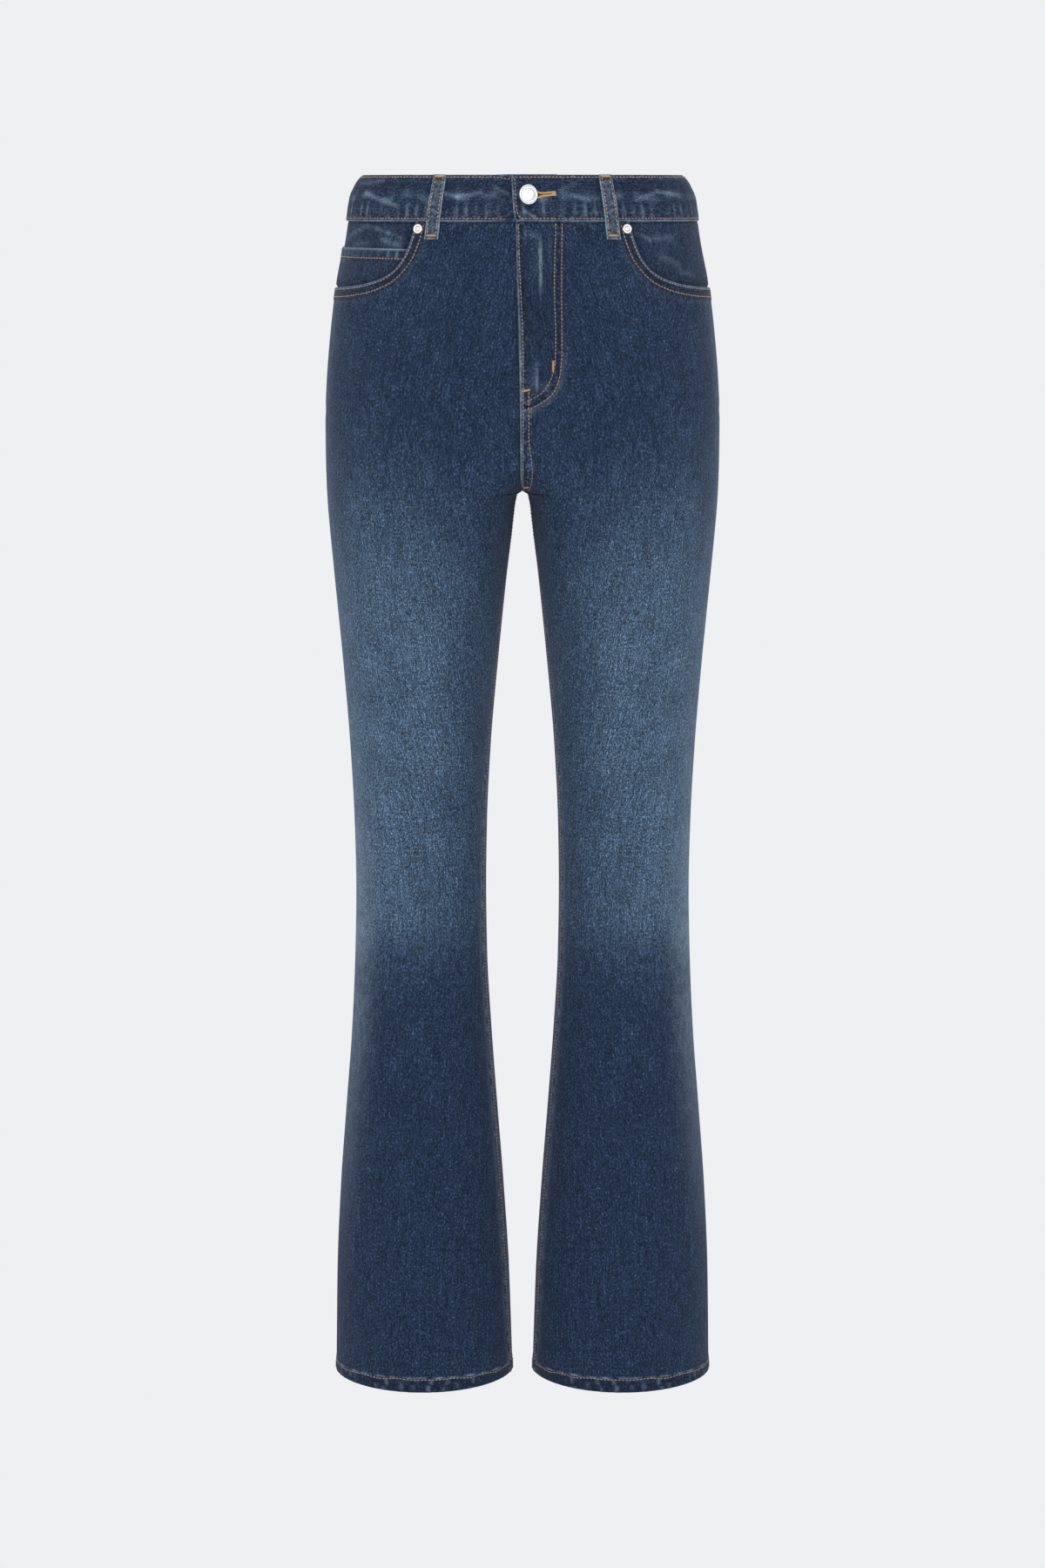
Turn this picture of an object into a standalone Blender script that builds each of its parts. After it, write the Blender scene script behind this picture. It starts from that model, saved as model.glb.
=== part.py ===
"""Straight-leg jeans with a high waist, standing filled out as worn, with nobody in them.

Lengths are in millimetres until a mesh is made, in metres. +Z is up, the front faces -Y and the wearer's
left side is at +X. The origin is the middle of the waist opening, halfway up the waistband, where the
wearer's waist holds the garment.

The worn cloth is one surface. A place on it is (s, drop): drop is the distance below the waistband's top
edge, and s runs round one half of the garment, 0 at the centre front or the inseam, 1 at the outseam and 2 at
the centre back or the inseam again. A negative s is the same place on the wearer's right. Each piece is a
wall between two offsets from that surface, where a positive offset is outwards.
"""

import math

import bpy
import numpy as np

MM = 0.001

# ---------------------------------------------------------------- driving sizes, in millimetres
LENGTH = 1100.0  # waistband's top edge to the hem
WAISTBAND = 40.5  # height of the waistband
CROTCH = 279.0  # drop of the crotch point, so the inseam is LENGTH - CROTCH
SEAM_GAP = 0.3  # between two pieces that are sewn together
DENIM = 1.4  # wall of one layer of denim
HEM = 12.5  # height of the turned-up hem
HEM_LIFT = 3.0  # how much the hem rises towards the seams
FLY_LENGTH = 164.0  # waistband seam to the end of the fly
SIDE_TURN = math.radians(7)  # the outseam lies this far behind the widest point

# The outline of the worn cloth, one row for each level.
#   outer   from the middle plane to the outside of the hip or leg
#   inner   from the middle plane to the inside of the leg. Above the crotch the two legs run together, and
#           it is negative: how far one leg's oval would reach past the middle plane
#   middle  from the middle plane to the deepest part of one leg's oval
#   front   how far the front stands forward, and back how far the back stands back
OUTLINE = (
    # drop, outer, inner, middle, front, back
    (0, 141.0, -141.0, 0.0, 86.0, 91.0),
    (3, 144.6, -144.6, 0.0, 87.6, 92.6),
    (8, 148.4, -148.4, 0.0, 89.6, 94.8),
    (16, 152.0, -152.0, 0.0, 91.8, 97.2),
    (27, 155.1, -155.1, 0.0, 94.4, 99.8),
    (41, 156.9, -156.9, 0.0, 97.0, 102.4),
    (61, 160.0, -160.0, 0.0, 100.2, 106.6),
    (92, 166.2, -166.2, 0.0, 104.6, 114.0),
    (123, 170.5, -164.5, 3.0, 107.8, 120.6),
    (154, 173.8, -148.0, 13.0, 109.8, 125.2),
    (185, 176.2, -118.0, 29.0, 110.4, 127.0),
    (215, 177.4, -82.0, 47.5, 109.8, 125.4),
    (240, 177.3, -50.0, 63.0, 108.4, 121.0),
    (258, 177.0, -27.0, 73.4, 107.2, 116.4),
    (270, 176.6, -11.0, 79.4, 106.2, 112.8),
    (276, 176.4, -3.4, 82.0, 105.7, 111.0),
    (CROTCH, 176.3, 0.15, 83.2, 105.4, 110.1),
    (280.5, 176.2, 3.4, 83.8, 105.3, 109.7),
    (284, 176.0, 5.8, 85.0, 105.0, 108.7),
    (294, 175.4, 7.6, 87.6, 104.2, 106.1),
    (318, 173.4, 9.8, 90.4, 102.2, 101.8),
    (366, 169.0, 15.2, 92.0, 97.4, 96.8),
    (437, 162.4, 22.4, 92.4, 88.6, 88.0),
    (509, 156.7, 28.7, 92.7, 78.6, 74.6),
    (581, 153.0, 32.3, 92.7, 69.6, 61.6),
    (641, 151.8, 33.2, 92.6, 65.0, 57.6),
    (702, 153.1, 32.4, 92.8, 63.4, 60.6),
    (775, 156.6, 28.5, 92.6, 64.2, 66.4),
    (849, 162.4, 23.1, 92.8, 66.6, 70.6),
    (923, 168.0, 17.4, 92.6, 69.6, 73.0),
    (998, 171.6, 12.7, 92.2, 72.2, 74.4),
    (LENGTH, 173.3, 9.2, 91.2, 74.2, 75.2),
)

# How square each quarter of the oval is: 2 is an ellipse, and more is flatter with fuller corners.
ROUNDNESS = (
    # drop, front_outer, front_inner, back_outer, back_inner
    (0, 2.30, 2.30, 2.15, 2.15),
    (92, 2.35, 2.40, 2.15, 2.15),
    (185, 2.30, 2.70, 2.15, 2.35),
    (258, 2.22, 3.30, 2.12, 2.65),
    (CROTCH, 2.20, 3.60, 2.10, 2.80),
    (294, 2.18, 3.65, 2.10, 2.85),
    (325, 2.15, 3.00, 2.08, 2.50),
    (380, 2.12, 2.40, 2.08, 2.20),
    (460, 2.10, 2.15, 2.08, 2.08),
    (LENGTH, 2.05, 2.05, 2.05, 2.05),
)

# The inseam lies forward of the innermost point of the leg, by this turn about the leg's middle.
INSEAM_TURN = (
    # drop, degrees
    (CROTCH, 0.0),
    (294, 12.0),
    (340, 15.0),
    (1000, 16.0),
    (LENGTH, 10.0),
)

# The edge of the left front, where it laps over the right one: how far it crosses the middle plane.
FRONT_EDGE = (
    # drop, cross
    (0, 5.6),
    (44, 5.6),
    (165, 1.6),
    (268, 1.6),
    (CROTCH, 0.0),
)

# The edge of the waistband's upper end, likewise. Its lower corner is rounded.
TAB_EDGE = (
    # drop, cross
    (0, 9.2),
    (28, 7.9),
    (37, 6.6),
    (WAISTBAND, 4.4),
)

# The front pocket's mouth, from the waistband to the outseam.
POCKET_MOUTH = (
    # share, s, drop
    (0.0, 0.428, WAISTBAND + SEAM_GAP),
    (0.1, 0.435, 50.2),
    (0.2, 0.444, 59.6),
    (0.3, 0.455, 69.0),
    (0.4, 0.477, 78.6),
    (0.5, 0.512, 86.4),
    (0.6, 0.566, 91.8),
    (0.7, 0.630, 95.4),
    (0.8, 0.720, 97.6),
    (0.9, 0.850, 98.9),
    (1.0, 1.000, 99.6),
)

# Offsets from the cloth's surface, (inner face, outer face).
PANEL_LAYER = (-DENIM, 0.0)
WAISTBAND_LAYER = (-1.6, 1.0)
POCKET_PATCH_LAYER = (0.6, 1.9)
SHIELD_LAYER = (-5.4, -4.0)
COIN_LAYER = (-3.5, -2.3)
FACING_LAYER = (-3.4, -2.1)
FACING_TOP_RISE = 0.25  # the facing comes out to the waistband's inner face along its top edge
FACING_PRESS = 1.8  # and the right one lies this much deeper, behind the coin pocket

UNDERLAP_STEP = 3.6  # how far the waistband's under end is pressed in
FRONT_UNDER_STEP = DENIM + 0.6  # and the right front's edge, under the fly
FRONT_UNDERLAP = 7.0  # how far that edge runs on past the middle plane

UNDERLAP_END = 34.0  # the waistband's under end reaches this far behind the upper one

POCKET_TUCK = 11.0  # the facing runs this far behind the front
COIN_TOP = 62.8  # drop of the coin pocket's top edge at the outseam
COIN_SLOPE = 1.5  # and how much lower its inner end is

YOKE_SIDE = 70.0  # drop of the yoke seam at the outseam
YOKE_MIDDLE = 100.0  # and at the centre back

BACK_POCKET_TOP = 118.0
BACK_POCKET_HALF = 61.0  # half its width at the top
BACK_POCKET_FOOT = 54.0  # half its width at the foot
BACK_POCKET_SIDES = 110.0  # height of its sides
BACK_POCKET_POINT = 20.0  # how much further down its point is
BACK_POCKET_PLACE = 1.50  # s of its middle line

LOOP_WIDTH = 12.4
LOOP_TOP = 0.6
LOOP_FOOT = 56.0
LOOP_CLOTH = 1.5
LOOP_BOW = 1.7  # how far a belt loop stands off the waistband
LOOP_FRONT_TOP = 71.5  # from the middle plane to a front loop's middle line, at its top
LOOP_FRONT_FOOT = 79.6  # and at its foot
LOOP_BACK = 1.40  # s of the loop on each side of the back

BUTTON_X = 4.0
BUTTON_DROP = 18.2
BUTTON_RADIUS = 8.8
BUTTON_LEAN = math.radians(26)  # the cap leans to the wearer's left, as the buttonhole pulls it
BUTTON_RISE = math.radians(13)  # and a little upwards
SHANK_RADIUS = 2.6
EYELET_RADIUS = 3.3
BUTTONHOLE_LENGTH = 24.0
BUTTONHOLE_SLIT = 0.8  # half the slit's width

RIVET_X = 91.0
RIVET_DROP = 46.9
RIVET_RADIUS = 4.3

ARC_STEPS = 160  # samples of half an oval, when lengths along it are measured
EVEN_SHARE = 0.55  # this much of a half, from the outseam, keeps an even width past the crotch
EVEN_LEVELS = (0, 20, 41, 80, 120, 160, 200, 234, 330, 370, 437, 509, 581, 641, 702, 775, 849, 998, LENGTH)


# ---------------------------------------------------------------- the cloth's surface
def read(table, drop):
    """The table's other columns at each drop, on a smooth curve that never overshoots its rows."""
    rows = np.array(table, float)
    x, y = rows[:, 0], rows[:, 1:]
    step = np.diff(x)[:, None]
    rise = np.diff(y, axis=0) / step
    slope = np.zeros_like(y)
    same_way = rise[:-1] * rise[1:] > 0
    steeper = np.where(same_way, rise[:-1] + rise[1:], 1.0)
    slope[1:-1] = np.where(same_way, 2 * rise[:-1] * rise[1:] / steeper, 0.0)
    slope[0], slope[-1] = rise[0], rise[-1]
    drop = np.clip(np.asarray(drop, float), x[0], x[-1])
    i = np.clip(np.searchsorted(x, drop, side="right") - 1, 0, len(x) - 2)
    h = step[i, 0][..., None]
    t = (drop - x[i])[..., None] / h
    value = (
        y[i] * (1 + 2 * t) * (1 - t) ** 2
        + y[i + 1] * t * t * (3 - 2 * t)
        + slope[i] * h * t * (1 - t) ** 2
        - slope[i + 1] * h * t * t * (1 - t)
    )
    return [value[..., k] for k in range(y.shape[1])]


def oval(drop):
    """Middle of one leg's oval, across and front to back, and its half size outwards, inwards and along."""
    outer, inner, middle, front, back = read(OUTLINE, drop)
    return middle, (back - front) / 2, outer - middle, middle - inner, (back + front) / 2


def power_at(across, along, drop):
    """The oval's power in the quarter that a direction points into."""
    front_outer, front_inner, back_outer, back_inner = read(ROUNDNESS, drop)
    front = np.where(across > 0, front_outer, front_inner)
    back = np.where(across > 0, back_outer, back_inner)
    return np.where(along < 0, front, back)


def on_oval(turn, drop):
    """The point of the oval in the direction turn: 0 is outwards, -90 degrees is the front."""
    middle_x, middle_y, half_out, half_in, half_y = oval(drop)
    across, along = np.cos(turn), np.sin(turn)
    power = power_at(across, along, drop)
    reach = (np.abs(across) ** power + np.abs(along) ** power) ** (-1 / power)
    half_x = np.where(across > 0, half_out, half_in)
    return middle_x + half_x * reach * across, middle_y + half_y * reach * along


def end_turns(drop):
    """The directions in which half a section starts, at the front, and ends, at the back."""
    middle_x, _, _, half_in, _ = oval(drop)
    _, front_inner, _, back_inner = read(ROUNDNESS, drop)
    share = np.clip((middle_x - SEAM_GAP / 2) / half_in, -1, 1)
    (forward,) = read(INSEAM_TURN, drop)
    front = np.arctan2(-((1 - np.abs(share) ** front_inner) ** (1 / front_inner)), -share)
    back = np.arctan2((1 - np.abs(share) ** back_inner) ** (1 / back_inner), -share)
    front = np.where(front > 0, front - 2 * math.pi, front)
    return front + np.radians(forward), back + np.radians(forward)


def lengths(turns, drop):
    """How far round the section each of the turns is, from the first."""
    x, y = on_oval(turns, drop[..., None])
    steps = np.hypot(np.diff(x), np.diff(y))
    return np.concatenate([np.zeros(steps.shape[:-1] + (1,)), np.cumsum(steps, -1)], -1)


def half_turns(ahead, drop):
    """Directions along the front or the back half of each section, from the outseam."""
    front_end, back_end = end_turns(drop)
    stop = np.where(ahead, front_end, back_end)
    return SIDE_TURN + (stop - SIDE_TURN)[..., None] * np.linspace(0, 1, ARC_STEPS)


def even_reach():
    """A table of each half's length, on levels clear of the crotch, where it changes at once."""
    drop = np.array(EVEN_LEVELS, float)
    ahead, behind = (lengths(half_turns(way, drop), drop)[:, -1] for way in (True, False))
    return np.stack([drop, ahead, behind], -1)


def turn_at(s, drop):
    """The direction of each place, found by measuring along the section from the outseam. Near the crotch
    only the cloth next to the inseam takes up the sudden change of the section's length."""
    turns = half_turns(s <= 1, drop)
    run = lengths(turns, drop)
    share = np.clip(np.abs(1 - s), 0, 1)
    even_front, even_back = read(EVEN_REACH, drop)
    even = np.where(s <= 1, even_front, even_back)
    taken_up = np.clip((share - EVEN_SHARE) / (1 - EVEN_SHARE), 0, 1) ** 2
    target = (share * even + taken_up * (run[..., -1] - even))[..., None]
    i = np.clip((run < target).sum(-1) - 1, 0, ARC_STEPS - 2)[..., None]
    low, high = np.take_along_axis(run, i, -1), np.take_along_axis(run, i + 1, -1)
    part = (target - low) / np.maximum(high - low, 1e-9)
    first, second = np.take_along_axis(turns, i, -1), np.take_along_axis(turns, i + 1, -1)
    return (first + (second - first) * part)[..., 0]


EVEN_REACH = even_reach()


def field(x, y, drop):
    """Under 1 inside the leg's oval, 1 on the cloth and more outside it."""
    middle_x, middle_y, half_out, half_in, half_y = oval(drop)
    across, along = x - middle_x, (y - middle_y) / half_y
    across = across / np.where(across > 0, half_out, half_in)
    power = power_at(across, along, drop)
    return np.abs(across) ** power + np.abs(along) ** power


def cloth(s, drop, offset=0.0):
    """Points of the worn cloth, moved out along the surface's own normal by offset."""
    s, drop, offset = (v.astype(float) for v in np.broadcast_arrays(s, drop, offset))
    side = np.where(s < 0, -1.0, 1.0)
    x, y = on_oval(turn_at(np.abs(s), drop), drop)
    e = 0.02
    normal = np.stack(
        [
            field(x + e, y, drop) - field(x - e, y, drop),
            field(x, y + e, drop) - field(x, y - e, drop),
            field(x, y, drop - e) - field(x, y, drop + e),
        ],
        -1,
    )
    normal /= np.linalg.norm(normal, axis=-1, keepdims=True)
    points = np.stack([x, y, WAISTBAND / 2 - drop], -1) + normal * offset[..., None]
    points[..., 0] *= side
    return points


def front_reach(drop):
    """Length of the front half-section, from the middle to the outseam."""
    drop = np.asarray(drop, float)
    at = cloth(np.linspace(0, 1, 60)[:, None], drop.reshape(1, -1))
    return np.linalg.norm(np.diff(at, axis=0), axis=-1).sum(0).reshape(drop.shape)


def back_reach(drop):
    """Length of the back half-section, from the outseam to the centre back."""
    at = cloth(np.linspace(1, 2, 60), float(drop))
    return np.linalg.norm(np.diff(at, axis=0), axis=-1).sum()


def s_at_x(x, drop):
    """The s of the front's point that lies x from the middle plane."""
    s = np.linspace(0, 1, 240)
    reach = cloth(s, float(drop))[:, 0]
    return float(np.interp(x, reach[: reach.argmax() + 1], s[: reach.argmax() + 1]))


def front_edge(drop):
    """The s of the left front's lapping edge."""
    (cross,) = read(FRONT_EDGE, drop)
    return -cross / front_reach(drop)


# ---------------------------------------------------------------- making solids
def material(name, colour, roughness, metallic=0.0):
    made = bpy.data.materials.new(name)
    made.use_nodes = True
    shader = made.node_tree.nodes["Principled BSDF"]
    shader.inputs["Base Color"].default_value = (*colour, 1)
    shader.inputs["Roughness"].default_value = roughness
    shader.inputs["Metallic"].default_value = metallic
    return made


def solid(name, points, faces, finish):
    """One named object from points in millimetres."""
    mesh = bpy.data.meshes.new(name)
    mesh.from_pydata([tuple(p) for p in np.asarray(points) * MM], [], faces)
    mesh.materials.append(finish)
    mesh.shade_smooth()
    mesh.set_sharp_from_angle(angle=math.radians(40))
    made = bpy.data.objects.new(name, mesh)
    bpy.context.scene.collection.objects.link(made)
    return made


def wall(name, s, drop, inner, outer, finish):
    """A closed wall of cloth over a grid of places. s grows along each row, and drop down each column."""
    rows, columns = np.broadcast_shapes(np.shape(s), np.shape(drop))
    count = rows * columns
    points = np.concatenate(
        [cloth(s, drop, outer).reshape(-1, 3), cloth(s, drop, inner).reshape(-1, 3)]
    )
    faces = []
    for i in range(rows - 1):
        for j in range(columns - 1):
            a = i * columns + j
            face = (a, a + columns, a + columns + 1, a + 1)
            faces += [face, tuple(count + v for v in reversed(face))]
    rim = [j for j in range(columns)]
    rim += [i * columns + columns - 1 for i in range(1, rows)]
    rim += [(rows - 1) * columns + j for j in range(columns - 2, -1, -1)]
    rim += [i * columns for i in range(rows - 2, 0, -1)]
    for a, b in zip(rim, rim[1:] + rim[:1]):
        faces.append((a, b, b + count, a + count))
    return solid(name, points, faces, finish)


def hem_rise(s, drop):
    """The drop of each place once the hem is lifted towards its seams."""
    near_hem = np.clip((drop - 900) / (LENGTH - 900), 0, 1)
    return drop - HEM_LIFT * near_hem * np.cos(turn_at(np.abs(s), drop)) ** 2


def smooth_step(value):
    value = np.clip(value, 0, 1)
    return value * value * (3 - 2 * value)


# ---------------------------------------------------------------- the pieces
MOUTH_COLUMNS = (0, 0.15, 0.3, 0.42, 0.53, 0.64, 0.73, 0.8, 0.86, 0.91, 0.96, 1)
LEVEL = 150.0  # above this drop a panel's rows bend to meet its top edge
ROWS_ABOVE_LEVEL = 5
ROWS_BELOW_LEVEL = (
    *(150, 175, 198, 207, 218, 236, 252, 263, 271, 276, CROTCH, 281, 285, 293, 308, 335),
    *(375, 425, 480, 535, 590, 645, 700, 760, 820, 880, 940, 1000, 1050),
    *(LENGTH - HEM - 0.8, LENGTH - HEM, LENGTH),
)


def panel_wall(name, side, top_s, top_drop, first_columns, last_edge, step, finish):
    """A leg panel. Its top edge is given, and its first columns and last edge as functions of drop."""
    levels = []
    for drop in ROWS_BELOW_LEVEL:
        first = np.atleast_1d(first_columns(drop))
        rest = np.linspace(first[-1], last_edge(drop), len(top_s) - len(first) + 1)[1:]
        levels.append(np.concatenate([first, rest]))
    rows_s, rows_drop = [], []
    for t in np.linspace(0, 1, ROWS_ABOVE_LEVEL, endpoint=False):
        rows_s.append(top_s + (levels[0] - top_s) * t)
        rows_drop.append(top_drop + (LEVEL - top_drop) * t)
    for s, drop in zip(levels, ROWS_BELOW_LEVEL):
        rows_s.append(s)
        rows_drop.append(hem_rise(s, np.full_like(s, drop)))
    s, drop = np.array(rows_s), np.array(rows_drop)
    in_hem = np.zeros_like(drop)
    in_hem[-2:] = 1
    press = step(s, drop)
    inner = PANEL_LAYER[0] - press - 1.6 * in_hem
    outer = PANEL_LAYER[1] - press + 0.5 * in_hem
    if side < 0:
        s, drop, inner, outer = -s[:, ::-1], drop[:, ::-1], inner[:, ::-1], outer[:, ::-1]
    return wall(name, s, drop, inner, outer, finish)


def gap_in_s(drop):
    """Half a seam's gap, as a step in s. It is wider round the crotch point, where four walls meet."""
    return SEAM_GAP / 2 * (1 + 1.5 * (np.abs(drop - CROTCH) < 16)) / front_reach(drop)


def front_panel(name, side, finish):
    def middle_edge(drop):
        lap = front_edge(drop)
        if side > 0:
            return lap + gap_in_s(drop)
        under = smooth_step((FLY_END - 4 - drop) / 8)
        return (-lap + gap_in_s(drop)) * (1 - under) - under * FRONT_UNDERLAP / front_reach(drop)

    def side_edge(drop):
        return 1 - gap_in_s(drop)

    def press(s, drop):
        """The right front's edge is pressed in where the fly laps over it."""
        if side > 0:
            return np.zeros_like(s)
        from_middle = s * front_reach(drop.ravel()).reshape(drop.shape)
        near = 1 - smooth_step((from_middle - 6.0) / 8.0)
        return FRONT_UNDER_STEP * near * smooth_step((FLY_END + 12 - drop) / 12)

    def fly_columns(drop):
        """The first columns, close together where the one front laps over the other."""
        first, reach = middle_edge(drop), front_reach(drop)
        return np.array([first, max(6.0 / reach, first + 0.02), max(14.5 / reach, first + 0.05)])

    top = WAISTBAND + SEAM_GAP
    mouth_s, mouth_drop = read(POCKET_MOUTH, np.array(MOUTH_COLUMNS))
    mouth_s[-1] = side_edge(mouth_drop[-1])
    plain_s = np.linspace(fly_columns(top)[-1], mouth_s[0], 5)[1:-1]
    top_s = np.concatenate([fly_columns(top), plain_s, mouth_s])
    top_drop = np.interp(top_s, mouth_s, mouth_drop)
    return panel_wall(name, side, top_s, top_drop, fly_columns, side_edge, press, finish)


def no_press(s, drop):
    return np.zeros_like(s)


def yoke_seam(s):
    return YOKE_SIDE + (YOKE_MIDDLE - YOKE_SIDE) * (s - 1)


def back_panel(name, side, finish):
    top_s = np.linspace(1, 2, 13)
    top_s[0] += gap_in_s(YOKE_SIDE)
    top_drop = yoke_seam(top_s) + SEAM_GAP / 2

    def side_edge(drop):
        return 1 + gap_in_s(drop)

    def middle_edge(drop):
        return 2 - gap_in_s(drop) * (drop >= CROTCH)

    return panel_wall(name, side, top_s, top_drop, side_edge, middle_edge, no_press, finish)


def yoke(name, side, finish):
    s = np.linspace(1, 2, 11)[None, :]
    s = s + (s == 1) * gap_in_s(YOKE_SIDE)
    top = WAISTBAND + SEAM_GAP
    foot = yoke_seam(s) - SEAM_GAP / 2
    drop = top + (foot - top) * np.linspace(0, 1, 4)[:, None]
    s = s + 0 * drop
    if side < 0:
        s, drop = -s[:, ::-1], drop[:, ::-1]
    return wall(name, s, drop, *PANEL_LAYER, finish)


def waistband(name, finish):
    """One strip, from the upper end at the fly round the back to the under end behind it."""
    drop = np.array([0, 3, 8, 16, 28, 36, WAISTBAND])[:, None]
    (cross,) = read(TAB_EDGE, drop[:, 0])
    reach = front_reach(drop[:, 0])
    start, end = -cross / reach, 4 + UNDERLAP_END / front_reach(WAISTBAND)
    near_front = start[:, None] + (0.24 - start[:, None]) * np.linspace(0, 1, 7)
    under_front = np.linspace(3.76, end, 13)
    rest = np.concatenate([np.linspace(0.24, 3.76, 44)[1:], under_front[1:]])
    around = np.concatenate([near_front, rest[None, :] + 0 * drop], 1)
    s = np.where(around > 2, around - 4, around)
    pressed_to = 4 - (TAB_EDGE[0][1] + 3) / front_reach(WAISTBAND)
    pressed_from = pressed_to - 13 / front_reach(WAISTBAND)
    press = UNDERLAP_STEP * smooth_step((around - pressed_from) / (pressed_to - pressed_from))
    inner, outer = (offset - press for offset in WAISTBAND_LAYER)
    return wall(name, s, drop + 0 * s, inner, outer, finish)


def placed(across, down, x, drop, lowest, highest):
    """A closed outline of points laid on the cloth about (x, drop), as a ring at each of two offsets."""
    middle = s_at_x(x, drop)
    s, at = middle + across / front_reach(drop), drop + down
    return cloth(s, at, lowest), cloth(s, at, highest)


def buttonhole_cutter(name):
    """A keyhole: a round eyelet about the shank, and a slit that runs to the wearer's left."""
    open_angle = math.asin(BUTTONHOLE_SLIT / EYELET_RADIUS)
    angles = np.linspace(open_angle, 2 * math.pi - open_angle, 14)
    across = np.append(EYELET_RADIUS * np.cos(angles), [BUTTONHOLE_LENGTH, BUTTONHOLE_LENGTH])
    down = np.append(EYELET_RADIUS * np.sin(angles), [-BUTTONHOLE_SLIT, BUTTONHOLE_SLIT])
    low, high = placed(across, down, BUTTON_X, BUTTON_DROP, WAISTBAND_LAYER[0] - 0.5, 3.0)
    n = len(across)
    faces = [tuple(range(n)), tuple(range(2 * n - 1, n - 1, -1))]
    faces += [(i, i + n, (i + 1) % n + n, (i + 1) % n) for i in range(n)]
    cutter = solid(name, np.concatenate([low, high]), faces, DENIM_DARK)
    cutter.hide_render = True
    cutter.display_type = "WIRE"
    return cutter


def fly_shield(name, finish):
    """The strip behind the fly, from the waistband down."""
    x = np.linspace(-13, 36, 6)
    drop = np.linspace(WAISTBAND + SEAM_GAP, FLY_END - 8, 7)[:, None]
    s = x / front_reach(drop)
    rounding = 16 * np.clip((x - 20) / 16, 0, 1) ** 2
    drop = drop - rounding * (drop - WAISTBAND) / (FLY_END - WAISTBAND)
    return wall(name, s, drop, *SHIELD_LAYER, finish)


def facing_columns():
    start = POCKET_MOUTH[0][1] - POCKET_TUCK / front_reach(WAISTBAND)
    return np.linspace(start, 1 - float(gap_in_s(WAISTBAND)), 14)


def pocket_facing(name, side, finish):
    """The denim behind the front pocket's mouth, tucked under the front along it."""
    s = facing_columns()
    mouth = read(POCKET_MOUTH, np.linspace(0, 1, 60))
    foot = np.interp(s, *mouth) + POCKET_TUCK
    top = WAISTBAND + SEAM_GAP
    drop = top + (foot - top) * np.array([0, 0.1, 0.2, 0.4, 0.6, 0.8, 1])[:, None]
    s = s + 0 * drop
    down = smooth_step((drop - top) / 12)
    press = FACING_TOP_RISE * (down - 1) + (FACING_PRESS if side < 0 else 0.0) * down
    inner, outer = FACING_LAYER[0] - press, FACING_LAYER[1] - press
    if side < 0:
        s, drop, inner, outer = -s[:, ::-1], drop[:, ::-1], inner[:, ::-1], outer[:, ::-1]
    return wall(name, s, drop, inner, outer, finish)


def coin_pocket(name, finish):
    """The small pocket on the right facing, made from its columns."""
    s = facing_columns()[1:]
    mouth = read(POCKET_MOUTH, np.linspace(0, 1, 60))
    share = (s - s[0]) / (s[-1] - s[0])
    top = COIN_TOP + COIN_SLOPE * (1 - share)
    foot = np.maximum(np.interp(s, *mouth) + POCKET_TUCK - 3, top + 8)
    drop = top + (foot - top) * np.linspace(0, 1, 5)[:, None]
    s = -(s + 0 * drop)[:, ::-1]
    return wall(name, s, drop[:, ::-1], *COIN_LAYER, finish)


def back_pocket(name, side, finish):
    across = np.linspace(-1, 1, 11)
    down = np.linspace(0, 1, 10)[:, None]
    foot = BACK_POCKET_SIDES + BACK_POCKET_POINT * (1 - np.abs(across))
    drop = BACK_POCKET_TOP + foot * down
    half = BACK_POCKET_HALF + (BACK_POCKET_FOOT - BACK_POCKET_HALF) * down
    s = BACK_POCKET_PLACE + across * half / back_reach(BACK_POCKET_TOP)
    if side < 0:
        s, drop = -s[:, ::-1], drop[:, ::-1]
    return wall(name, s, drop, *POCKET_PATCH_LAYER, finish)


def belt_loop(name, side, middle_line, finish):
    """A strap sewn to the waistband's top edge and to the panel below, bowed out between them."""
    share = np.linspace(0, 1, 11)[:, None]
    drop = LOOP_TOP + (LOOP_FOOT - LOOP_TOP) * share
    middle = np.array([middle_line(d) for d in drop[:, 0]])[:, None]
    s = middle + np.linspace(-1, 1, 4) * LOOP_WIDTH / 2 / front_reach(WAISTBAND)
    on_band = WAISTBAND_LAYER[1] + SEAM_GAP
    bow = LOOP_BOW * np.sin(math.pi * smooth_step(share * 1.15)) ** 0.8
    foot = smooth_step((drop - WAISTBAND - 1) / 8)
    inner = (on_band + bow) * (1 - foot) + SEAM_GAP * foot + 0 * s
    drop = drop + 0 * s
    s = np.where(s > 2, s - 4, s)
    if side < 0:
        s = -s[:, ::-1]
    return wall(name, s, drop, inner, inner + LOOP_CLOTH, finish)


def front_loop_line(drop):
    """A front loop leans: its foot is further from the middle than its top."""
    share = (drop - LOOP_TOP) / (LOOP_FOOT - LOOP_TOP)
    return s_at_x(LOOP_FRONT_TOP + (LOOP_FRONT_FOOT - LOOP_FRONT_TOP) * share, drop)


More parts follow.
